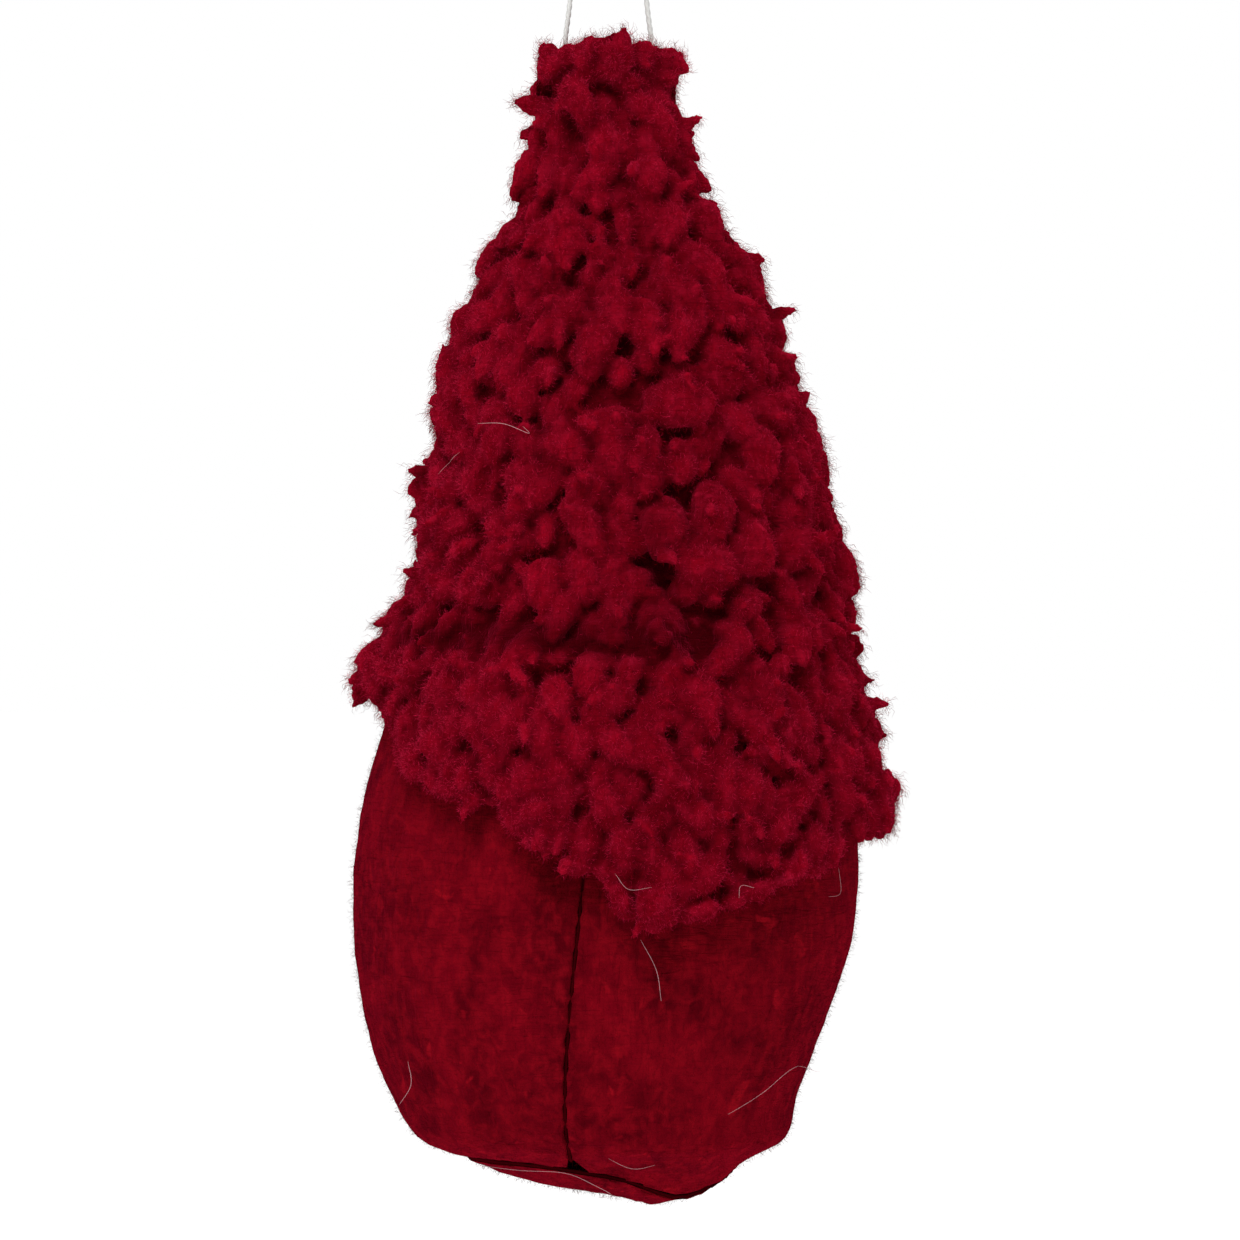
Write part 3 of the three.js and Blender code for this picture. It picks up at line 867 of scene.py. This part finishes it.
def spread_out(roots, normals, gap_at):
    """Picks roots in order so that no two are closer than the gap at that place."""
    gaps = gap_at(roots)
    cell = gaps.max()
    filled, picked = {}, []
    for i, root in enumerate(roots):
        key = tuple((root // cell).astype(int))
        near = [
            j for dx in (-1, 0, 1) for dy in (-1, 0, 1) for dz in (-1, 0, 1)
            for j in filled.get((key[0] + dx, key[1] + dy, key[2] + dz), ())
        ]
        if near and np.min(np.linalg.norm(roots[near] - root, axis=1)) < gaps[i]:
            continue
        filled.setdefault(key, []).append(i)
        picked.append(i)
    return np.array(picked)


def locks_at(name, roots, normals, ways, lengths, widths, depths, curls, lifts, tapers):
    """One mesh of many locks. Each lies along its way, bulges out and curls in at its tip."""
    count = len(roots)
    side = unit(np.cross(normals, ways))
    up = np.cross(ways, side)
    along = lock_places[:, 2][None, :] * np.ones((count, 1))
    blunt = 0.5 - along  # 0 at the root and 1 at the tip
    spread = 0.62 + 0.55 * np.sin(math.pi * np.clip(0.12 + 0.62 * blunt, 0, 1))
    spread = spread * (1 - tapers[:, None] * blunt**1.5)
    across = lock_places[:, 0][None, :] * spread * widths[:, None]
    out = lock_places[:, 1][None, :] * spread * depths[:, None]
    rise = lifts[:, None] * np.sin(math.pi * (0.1 + 0.8 * blunt))
    hook = curls[:, None] * blunt**2
    places = (
        roots[:, None, :]
        + ways[:, None, :] * ((blunt - 0.3) * lengths[:, None])[:, :, None]
        + side[:, None, :] * (across + hook)[:, :, None]
        + up[:, None, :] * (out + rise)[:, :, None]
    ).reshape(-1, 3)
    size = len(lock_places)
    faces = (LOCK_TRIANGLES[None] + size * np.arange(count)[:, None, None]).reshape(-1, 3)
    return mesh_of(name, places, faces)


# %% [markdown]
# The locks are not the same everywhere. They are largest and loosest in the middle of the back,
# small at the tip, and flatter and matted on the skirt and down the left side. A long hollow
# runs across where the hat bends over the body, and a shorter one runs down the middle.


# %% Describe how the locks vary
def lock_width(roots):
    """How wide a lock is at each root."""
    height = (roots[:, 2] - BASE) / MM
    across = roots[:, 0] / MM
    middle = bell(height, 100, 26) * bell(across, -6, 18)
    matted = step_up(across, 12, 24) * step_up(roots[:, 1] / MM, -10, 5)
    skirt = 1 - step_up(height, 74, 86)
    tip = step_up(height, 138, 156)
    return (5.3 + 1.7 * middle - 1.0 * matted - 0.6 * skirt - 0.9 * tip) * MM


def hollow_depth(roots):
    """How far the fleece sinks into the bend over the body and the hollow down the middle."""
    height = (roots[:, 2] - BASE) / MM
    across = roots[:, 0] / MM
    behind = step_up(roots[:, 1], 0, 6 * MM)
    bend = bell(height, 81 + 0.03 * across, 2.6) * step_up(across, -20, -12) * (1 - step_up(across, 27, 34))
    valley = bell(across, -7, 2.4) * bell(height, 92, 10)
    return (2.4 * bend + 2.0 * valley) * behind * MM


def facing_out(middles, face_normals):
    """Faces that don't look in at the upright middle line."""
    return (unit(middles * (1, 1, 0)) * face_normals).sum(1) > -0.2


def hem_of(piece):
    """A function that gives the height of a hat panel's hem below each place."""
    places = corners_of(piece)
    slots = 72
    slot = ((np.arctan2(places[:, 1], places[:, 0]) / (2 * math.pi) + 1) * slots).astype(int) % slots
    lowest = np.full(slots, np.nan)
    for each in range(slots):
        if (slot == each).any():
            lowest[each] = places[slot == each, 2].min()
    known = np.flatnonzero(~np.isnan(lowest))

    def hem_below(roots):
        turn = ((np.arctan2(roots[:, 1], roots[:, 0]) / (2 * math.pi) + 1) * slots) % slots
        return np.interp(turn, known + 0.5, lowest[known], period=slots)

    return hem_below


def openness_of(piece, rounds):
    """How far each corner stands above (+) or below (-) the evened-out surface, in millimetres."""
    places = corners_of(piece)
    edges = np.empty(len(piece.data.edges) * 2, int)
    piece.data.edges.foreach_get("vertices", edges)
    a, b = edges.reshape(-1, 2).T
    near = np.bincount(a, minlength=len(places)) + np.bincount(b, minlength=len(places))
    even = places.copy()
    for _ in range(rounds):
        total = np.zeros_like(even)
        for axis in range(3):
            total[:, axis] = np.bincount(a, even[b, axis], len(even)) + np.bincount(b, even[a, axis], len(even))
        even = 0.5 * even + 0.5 * total / np.maximum(near, 1)[:, None]
    away = unit(places * (1, 1, 0))
    return ((places - even) * away).sum(1) / MM


PUFF_AT = (-12.9, 90.0)  # across and above the base, the middle of the biggest puff
PUFF_CLEARANCE = 6.5
# Tufts that stand out from the rest: across, height above the base, way across and up, length, width.
SINGLE_TUFTS = [
    (-2.0, 164.5, -0.1, 1.0, 8.6, 4.4),
    (2.4, 165.5, 0.1, 1.0, 5.4, 3.6),
    (-8.2, 162.8, -0.65, 0.9, 6.6, 3.6),
    (7.0, 163.5, 0.5, 0.6, 4.6, 4.4),
    (10.4, 158.0, 1.0, 0.15, 5.6, 3.6),
    (-9.6, 157.5, -0.35, -1.0, 4.6, 2.0),
    (33.0, 74.6, 1.0, -0.25, 7.0, 4.2),
    (-37.0, 58.5, -0.4, -1.0, 5.6, 5.6),
    (-12.6, 92.6, 0.1, -1.0, 9.6, 8.8),
    (-15.0, 89.6, -0.5, -0.7, 6.0, 5.0),
    (-10.8, 88.8, 0.4, -0.8, 5.4, 4.6),
    (-5.6, 45.0, -0.1, -1.0, 8.0, 5.0),
    (-1.5, 46.0, 0.1, -1.0, 6.0, 4.0),
    (9.0, 57.5, 0.1, -1.0, 6.0, 4.6),
]


# Tufts that close the hat's open end between the cord's legs: across only.
CROWN_TUFTS = (-3.8, -1.9, 0.0, 1.9, 3.8)
CROWN_HEIGHT = 163.2


def crown_tufts():
    """Upright tufts that fill the gap between the two panels at the top of the hat."""
    count = len(CROWN_TUFTS)
    places = np.array([(x * MM, 0.0, BASE + CROWN_HEIGHT * MM) for x in CROWN_TUFTS])
    upright = np.tile([0.0, 0.0, 1.0], (count, 1))
    widths = np.full(count, 3.4 * MM)
    return locks_at(
        "crown_tufts", places, np.tile([0.0, 1.0, 0.0], (count, 1)), upright, widths * 1.7, widths,
        widths * 1.1, 0 * widths, 0 * widths, np.full(count, 0.1),
    ), places, upright


def single_tufts(roots, normals):
    """The tufts that are placed one by one. Gives their mesh, their roots and their ways."""
    rows = np.array(SINGLE_TUFTS)
    spots = np.stack([rows[:, 0] * MM, rows[:, 1] * MM + BASE], 1)
    nearest = [int(np.argmin(np.hypot(roots[:, 0] - x, roots[:, 2] - z))) for x, z in spots]
    places = roots[nearest].copy()
    places[:, 0], places[:, 2] = spots[:, 0], spots[:, 1]
    out = normals[nearest]
    ways = np.stack([rows[:, 2], np.zeros(len(rows)), rows[:, 3]], 1)
    ways = unit(unit(ways) + 0.15 * out)
    lengths, widths = rows[:, 4] * MM, rows[:, 5] * MM
    plump = widths > 4.5 * MM
    piece = locks_at(
        "single_tufts", places, out, ways, lengths, widths, widths * 0.85, 0 * widths,
        widths * (0.4 + 0.15 * plump), 0.7 - 0.6 * plump,
    )
    return piece, places, ways


CORD_LEG = 6.1  # how far to each side the cord's legs leave the hat
PARTING_WIDTH = 1.9
PARTING_HEIGHT = 167.2


def parted_for_cord(piece):
    """Parts the pile where each leg of the cord lies down on it as the gnome swings."""
    places = corners_of(piece)
    under_leg = bell(np.abs(places[:, 0]) / MM, CORD_LEG, PARTING_WIDTH)
    above = np.maximum((places[:, 2] - BASE) / MM - PARTING_HEIGHT, 0)
    places[:, 2] -= above * under_leg * MM
    move_corners(piece, places)


def fleece_panel(node, name, seed, behind):
    """One hat panel: its knitted ground with all its locks, felted into one soft body."""
    chance = np.random.default_rng(seed)
    ground = copy_of(node, name)
    subdivided(ground, 1)
    hem_below = hem_of(ground)
    places = corners_of(ground)
    radial = unit(places * (1, 1, 0))
    corner_normals = np.array([corner.normal for corner in ground.data.vertices])
    outside = np.clip((radial * corner_normals).sum(1), 0, 1)
    depth = (1.3 + 1.7 * step_up((places[:, 2] - BASE) / MM, 72, 90)) * MM
    places -= radial * (outside * depth)[:, None]
    corner_low = (places[:, 0] < -32 * MM) & (places[:, 2] < BASE + 56 * MM)
    places[corner_low, 2] += 0.6 * (BASE + 56 * MM - places[corner_low, 2])
    move_corners(ground, places)

    roots, root_normals = roots_on(ground, 20000, chance, facing_out)
    picked = spread_out(roots, root_normals, lambda r: 0.68 * lock_width(r))
    roots, root_normals = roots[picked], root_normals[picked]
    height = (roots[:, 2] - BASE) / MM
    across = roots[:, 0] / MM
    inside = ~((across > 28) & (height < 73)) & ~((across < -33) & (height < 57))
    roots, root_normals = roots[inside], root_normals[inside]
    widths = lock_width(roots) * chance.uniform(0.62, 1.15, len(roots))
    height = (roots[:, 2] - BASE) / MM
    across = roots[:, 0] / MM
    bare = behind * (np.hypot(across - PUFF_AT[0], height - PUFF_AT[1]) < PUFF_CLEARANCE)
    widths = widths * (1 - 0.6 * bare)
    matted = step_up(across, 10, 24) * behind
    down = np.tile([0.0, 0.0, -1.0], (len(roots), 1))
    upper = step_up(height, 112, 132)
    skirt = 1 - step_up(height, 70, 84)
    swing = chance.normal(0, 0.55, len(roots)) * (1 - 0.4 * upper - 0.3 * skirt)
    sideways = bell(height, 117, 6) * bell(across, -17, 8) * behind
    swing = swing + 1.3 * sideways
    top = step_up(height, 158, 165)
    flat_down = unit(down - root_normals * (down * root_normals).sum(1)[:, None])
    side = np.cross(root_normals, flat_down)
    ways = flat_down * np.cos(swing)[:, None] + side * np.sin(swing)[:, None]
    lean = chance.uniform(0.12, 0.62, len(roots)) * (1 - 0.5 * matted) * (1 - 0.6 * skirt)
    lean = lean * (1 - 0.5 * step_up(height, 146, 156))
    ways = unit(ways + root_normals * lean[:, None])
    upwards = unit(np.array([0, 0, 1.0]) + chance.normal(0, 0.45, ways.shape))
    ways = unit(ways * (1 - top)[:, None] + upwards * top[:, None])
    lengths = widths * chance.uniform(1.3, 2.0, len(roots)) * (1 + 0.15 * upper + 0.2 * skirt)
    room_above = np.maximum((167.5 - height) / 0.7 * MM, 0.5 * widths)
    lengths = np.where(top > 0.3, np.minimum(lengths, room_above), lengths)
    room_below = roots[:, 2] - hem_below(roots) + 1.2 * MM
    lengths = np.minimum(lengths, np.maximum(room_below / 0.7, 0.6 * widths))
    depths = widths * chance.uniform(0.65, 0.9, len(roots))
    curls = widths * chance.normal(0, 0.4, len(roots))
    lifts = widths * chance.uniform(-0.05, 0.38, len(roots)) - hollow_depth(roots)
    tapers = chance.uniform(0.0, 0.35, len(roots))
    locks = locks_at(name + "_locks", roots, root_normals, ways, lengths, widths, depths, curls, lifts, tapers)
    spots, flow = roots + ways * 0.2 * lengths[:, None], ways
    if behind:
        tufts, tuft_places, tuft_ways = single_tufts(roots, root_normals)
        crown, crown_places, crown_ways = crown_tufts()
        spots = np.concatenate([spots, tuft_places, crown_places])
        flow = np.concatenate([flow, tuft_ways, crown_ways])
        alone(locks)
        tufts.select_set(True)
        crown.select_set(True)
        bpy.ops.object.join()
    lumpy(locks, 2.4 * MM, 1.3 * MM)
    flow_tree = kdtree.KDTree(len(spots))
    for i, spot in enumerate(spots):
        flow_tree.insert(spot, i)
    flow_tree.balance()

    knobs, knob_normals = roots_on(locks, int(1.4 * len(roots)), chance)
    knob_widths = chance.uniform(1.3, 2.5, len(knobs)) * MM
    knob_flow = flow[[flow_tree.find(knob)[1] for knob in knobs]]
    knob_ways = unit(knob_flow + 0.7 * chance.normal(size=knobs.shape))
    knob_mesh = locks_at(
        name + "_knobs", knobs - knob_normals * 0.7 * MM, knob_normals, knob_ways,
        knob_widths * 1.9, knob_widths, knob_widths * 0.8,
        knob_widths * chance.normal(0, 0.3, len(knobs)), knob_widths * 0.1, np.full(len(knobs), 0.5),
    )
    alone(ground)
    locks.select_set(True)
    knob_mesh.select_set(True)
    bpy.ops.object.join()
    apply_modifier(ground, "REMESH", mode="VOXEL", voxel_size=0.5 * MM)
    lumpy(ground, 1.2 * MM, 0.5 * MM)
    lumpy(ground, 0.6 * MM, 0.3 * MM)
    if not behind:
        parted_for_cord(ground)
    smooth(ground)
    # Taking the hollows' depth off the openness deepens the painted shade in the bend and the middle valley,
    # and thins the fibres there.
    openness = openness_of(ground, 60) - 0.4 * hollow_depth(corners_of(ground)) / MM
    attribute = ground.data.attributes.new("openness", "FLOAT", "POINT")
    attribute.data.foreach_set("value", openness.astype(np.float32))
    print(name, len(roots), "locks, openness", np.percentile(openness, (5, 50, 95)).round(2))
    return ground, flow, flow_tree


fleece_back, *back_flow = fleece_panel("hat_back_panel", "fleece_back", 11, 1)
finished(fleece_back, "gnome", fleece_red, "crimson_fleece", "hat_back_panel")
fleece_front, *front_flow = fleece_panel("hat_front_panel", "fleece_front", 12, 0)
finished(fleece_front, "gnome", fleece_red, "crimson_fleece", "hat_front_panel")

# %% [markdown]
# The locks themselves are made of fine crimped fibres. Most lie along their lock and overshoot
# its tip in a wisp. Shorter ones stand straight off it and make the soft edge of the hat. Their
# pale rose colour is a painted glow for the light that shines through thin fibres.


# %% Raise the fibres of the fleece
def combed_on(panel, flow, flow_tree, name, count, seed):
    """Fibres that follow the lock they grow on and arch a little over it."""
    chance = np.random.default_rng(seed)
    roots, normals = roots_on(panel, count, chance, facing_out)
    along = flow[[flow_tree.find(root)[1] for root in roots]]
    along = unit(along - normals * (along * normals).sum(1)[:, None])
    ways = unit(along + 0.16 * normals + 0.38 * chance.normal(size=roots.shape))
    lengths = chance.uniform(1.0, 2.5, count) * MM
    arch = normals * (0.14 * lengths)[:, None]
    return fibres_from(
        name, roots - normals * 0.08 * MM, ways, lengths, 0.05 * MM, chance, 0.36, (0.3, 0.5, 0.2), arch
    )


def hazy(middles, normals):
    """More standing fibres on the matted side, at the tip and along the skirt."""
    height = (middles[:, 2] - BASE) / MM
    worn = step_up(middles[:, 0] / MM, 8, 20) + step_up(height, 150, 160) + 0.6 * (1 - step_up(height, 66, 80))
    return facing_out(middles, normals) * (0.7 + worn)


for number, (panel, flow, density) in enumerate((
    (fleece_back, back_flow, 1.0), (fleece_front, front_flow, 0.66),
)):
    wisps = combed_on(panel, *flow, panel.name + "_wisps", int(42000 * density), 60 + number)
    finished(wisps, "gnome", combed_fibres, "crimson_fleece")
    fuzz = nap_on(
        panel, panel.name + "_fuzz", int(36000 * density), 70 + number, 0.5 * MM, 1.3 * MM, 0.036 * MM,
        1.1, (0.45, 0.35, 0.2), hazy,
    )
    finished(fuzz, "gnome", standing_fibres_painted_pale, "crimson_fleece")

# %% [markdown]
# ## Lint
# A few pale stray hairs cling to the wool, as they do on any felt thing that has been packed with
# white fur. Each is a fine closed tube along a curve that is dropped onto the surface from behind.


# %% Lay the lint
def tube_along(name, lines, thickness, taper, sides=4):
    """Closed round tubes along lines of points. Each row of lines is one tube."""
    count, steps = lines.shape[:2]
    ahead = np.gradient(lines, axis=1)
    ahead /= np.maximum(np.linalg.norm(ahead, axis=2), 1e-12)[:, :, None]
    aside = np.cross(ahead, np.array([0.31, 0.87, 0.37]))
    aside /= np.maximum(np.linalg.norm(aside, axis=2), 1e-12)[:, :, None]
    other = np.cross(ahead, aside)
    reach = thickness.reshape(-1, 1, 1) / 2 * taper[None, :, None]
    rings = [
        lines + reach * (math.cos(turn) * aside + math.sin(turn) * other)
        for turn in np.arange(sides) * 2 * math.pi / sides
    ]
    places = np.stack(rings, axis=2).reshape(-1, 3)
    one = [
        (i * sides + j, i * sides + (j + 1) % sides, (i + 1) * sides + (j + 1) % sides, (i + 1) * sides + j)
        for i in range(steps - 1) for j in range(sides)
    ]
    if sides == 4:
        one.append((3, 2, 1, 0))
        one.append(tuple(range((steps - 1) * sides, steps * sides)))
    faces = (np.array(one)[None] + steps * sides * np.arange(count)[:, None, None]).reshape(-1, 4)
    piece = mesh_of(name, places, faces)
    smooth(piece)
    return piece


def dropped(points, stand_off):
    """Points across and above the base, put down from behind onto whatever is there."""
    graph = bpy.context.evaluated_depsgraph_get()
    placed = []
    for x, height in points:
        start = Vector((x * MM, 0.2, height * MM + BASE))
        hit, where, *_ = scene.ray_cast(graph, start, Vector((0, -1, 0)))
        placed.append(where + Vector((0, stand_off, 0)) if hit else Vector((x * MM, 0.028, start.z)))
    return np.array(placed)


def curve_through(points, steps):
    """A smooth line of so many points through a few points in space."""
    knots = np.array([2 * points[0] - points[1], *points, 2 * points[-1] - points[-2]])
    stops = np.linspace(0, len(points) - 1 - 1e-9, steps)
    rows = []
    for stop in stops:
        i, t = int(stop), stop - int(stop)
        a, b, c, d = knots[i : i + 4]
        rows.append(0.5 * (2 * b + (c - a) * t + (2 * a - 5 * b + 4 * c - d) * t**2
                           + (3 * b - a - 3 * c + d) * t**3))
    return np.array(rows)


LINT = [
    [(18.6, 5.4), (12.8, 5.0), (6.2, 4.7), (1.9, 2.9), (-0.6, 1.3), (1.4, 0.9)],
    [(18.6, 111.7), (14.9, 111.6), (11.3, 110.2), (12.1, 111.2)],
    [(24.4, 104.7), (22.9, 106.2), (21.2, 107.6)],
    [(-17.0, 13.4), (-22.0, 16.3), (-26.4, 19.5), (-30.0, 19.9)],
    [(-1.0, 48.2), (-2.9, 46.0), (-6.1, 46.3)],
    [(-18.4, 44.6), (-18.7, 46.3), (-20.6, 46.0)],
    [(-4.6, 38.7), (-6.8, 34.4), (-7.5, 30.0)],
    [(-33.0, 48.2), (-33.3, 44.6), (-31.5, 44.1)],
    [(-0.1, 7.2), (-3.5, 5.6), (-6.7, 6.2)],
    [(30.0, 14.0), (28.2, 17.2), (28.6, 20.6)],
]
lint_white = plain("lint_white", (0.55, 0.30, 0.32), 0.8, 0.1)
LINT_STEPS = 24
lint_taper = np.sin(np.linspace(0.12, math.pi - 0.12, LINT_STEPS)) ** 0.35
lint_lines = np.array([dropped(curve_through(np.array(row), LINT_STEPS), 0.12 * MM) for row in LINT])
for row in lint_lines:
    depth = np.array([row[max(i - 3, 0) : i + 4, 1].max() for i in range(LINT_STEPS)])
    row[:, 1] = np.convolve(np.pad(depth, 2, "edge"), np.full(5, 0.2), "valid")
lint_chance = np.random.default_rng(77)
lint_widths = lint_chance.uniform(0.05, 0.09, len(LINT)) * MM
lint = tube_along("lint", lint_lines, lint_widths, lint_taper)
finished(lint, "gnome", lint_white, "red_felt")


# %% [markdown]
# ## The stuffing and the glue
# Inside are loose wadding in the body and the hat, and a bead of glue that holds the hat. They
# hardly show, but they are real pieces, so each gets a soft or a clear surface of its own.

# %% Finish the hidden pieces
wadding = plain("wadding", (0.72, 0.70, 0.65))
wadding_tree = wadding.node_tree
wadding_nap = grouped(wadding_tree, fibres)
bumped(wadding_tree, wadding_tree.nodes["Principled BSDF"], wadding_nap.outputs["Height"], 0.0004)
for node in ("body_filling", "hat_filling"):
    puff = copy_of(node, node.replace("filling", "wadding"))
    subdivided(puff, 1)
    move_corners(puff, tucked_under(corners_of(puff)))
    lumpy(puff, 5 * MM, 1.0 * MM)
    smooth(puff)
    finished(puff, "gnome", wadding, "white_filling", node)

glue_clear = plain("glue_clear", (0.62, 0.56, 0.44), 0.3, 0.5)
glue_tree = glue_clear.node_tree
glue_waves = object_noise(glue_tree, 160, 1)
bumped(glue_tree, glue_tree.nodes["Principled BSDF"], glue_waves.outputs["Fac"], 0.0005)
glue = copy_of("hat_glue", "glue_bead")
lumpy(glue, 4 * MM, 0.35 * MM)
smooth(glue)
finished(glue, "gnome", glue_clear, "clear_glue", "hat_glue")

# %% [markdown]
# ## The nose
# The nose is a turned half-ball of pale wood, sanded smooth and left bare. Its grain runs
# across it as fine stretched streaks.

# %% Turn the nose
wood = plain("pale_wood", (0.62, 0.42, 0.25), 0.5, 0.35)
wood_tree = wood.node_tree
wood_shader = wood_tree.nodes["Principled BSDF"]
grain = object_noise(wood_tree, 260, 4, (0.35, 1, 3.0), 0.8)
pores = object_noise(wood_tree, 1500, 2, (0.2, 1, 2.2))
grain_share = ranged(wood_tree, grain.outputs["Fac"], 0.35, 0.68)
pore_share = ranged(wood_tree, pores.outputs["Fac"], 0.55, 0.72, 0, 0.35)
grain_colour = mixed(wood_tree, grain_share, (0.68, 0.47, 0.29), (0.50, 0.31, 0.17))
wood_tree.links.new(
    mixed(wood_tree, pore_share, grain_colour, (0.36, 0.21, 0.11)), wood_shader.inputs["Base Color"]
)
bumped(wood_tree, wood_shader, pores.outputs["Fac"], 0.0001, 0.5)
nose = copy_of("nose", "wooden_nose")
subdivided(nose, 2)
smooth(nose)
finished(nose, "gnome", wood, "pale_wood", "nose")

# %% [markdown]
# ## The beard
# The beard is one piece of cream fur cloth. Its top is glued under the hat's brim and the rest
# hangs free, so it can be lifted. The pile is long, so it is built as many wavy tapered strands
# over the two backings.

# %% Make the beard
BEARD_STRANDS = 2300
STRAND_STEPS = 7
cream = (0.78, 0.72, 0.62)
backing_cream = plain("fur_backing", (0.60, 0.54, 0.45))
backing_tree = backing_cream.node_tree
backing_knit = grouped(backing_tree, fibres)
bumped(backing_tree, backing_tree.nodes["Principled BSDF"], backing_knit.outputs["Height"], 0.0003)
fur_shades = [
    plain("fur_cream", cream, 0.6, 0.25),
    plain("fur_pale", (0.84, 0.80, 0.72), 0.6, 0.25),
    plain("fur_shaded", (0.62, 0.53, 0.42), 0.65, 0.2),
]


def outer_half(middles, normals):
    return np.clip(-normals[:, 1], 0, 1)


def fur_on(backing, name, count, longest, least, seed):
    """Wavy strands that hang down from the outer face of a backing, shorter near its lower edge."""
    chance = np.random.default_rng(seed)
    roots, normals = roots_on(backing, count, chance, outer_half)
    share = np.linspace(0, 1, STRAND_STEPS)
    low = corners_of(backing)[:, 2].min()
    room = np.clip((roots[:, 2] - low) / (12 * MM), least, 1)
    lengths = longest * chance.uniform(0.6, 1.0, count) * room
    lean = chance.normal(0, 0.16, count) - 4.0 * roots[:, 0] * (1 - room) * 3
    wave = chance.uniform(0, 2 * math.pi, (count, 1))
    size = chance.uniform(0.25, 0.8, (count, 1)) * MM
    out = 1.6 * MM * chance.uniform(0.5, 1.4, (count, 1))
    lines = np.empty((count, STRAND_STEPS, 3))
    lines[:, :, 0] = roots[:, :1] + lengths[:, None] * share * lean[:, None] + size * np.sin(
        wave + 7 * share
    ) * share
    rise = out * np.sin(0.75 * math.pi * share)
    lines[:, :, 1] = roots[:, 1:2] - rise + 0.22 * lengths[:, None] * share**2
    lines[:, :, 2] = roots[:, 2:] - lengths[:, None] * share
    taper = np.array([1, 1, 0.95, 0.85, 0.7, 0.45, 0.08])
    fur = tube_along(name, lines, chance.uniform(0.35, 0.8, count) * MM, taper)
    per_strand = len(fur.data.polygons) // count
    shade = np.repeat(chance.choice(3, size=count, p=(0.5, 0.3, 0.2)), per_strand)
    fur.data.polygons.foreach_set("material_index", shade.astype(np.int32))
    return fur


beard_backings = []
for node, name in (("beard_top", "beard_top_cloth"), ("beard_flap", "beard_flap_cloth")):
    backing = copy_of(node, name)
    subdivided(backing, 1)
    lumpy(backing, 5 * MM, 0.3 * MM)
    smooth(backing)
    finished(backing, "gnome" if node == "beard_top" else "beard", backing_cream, "cream_fur", node)
    beard_backings.append(backing)
top_fur = fur_on(beard_backings[0], "beard_top_fur", BEARD_STRANDS // 2, 16 * MM, 0.9, 91)
flap_fur = fur_on(beard_backings[1], "beard_flap_fur", BEARD_STRANDS, 13 * MM, 0.35, 92)
finished(flap_fur, "beard", fur_shades, "cream_fur")
finished(top_fur, None, fur_shades, "cream_fur")
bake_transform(top_fur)
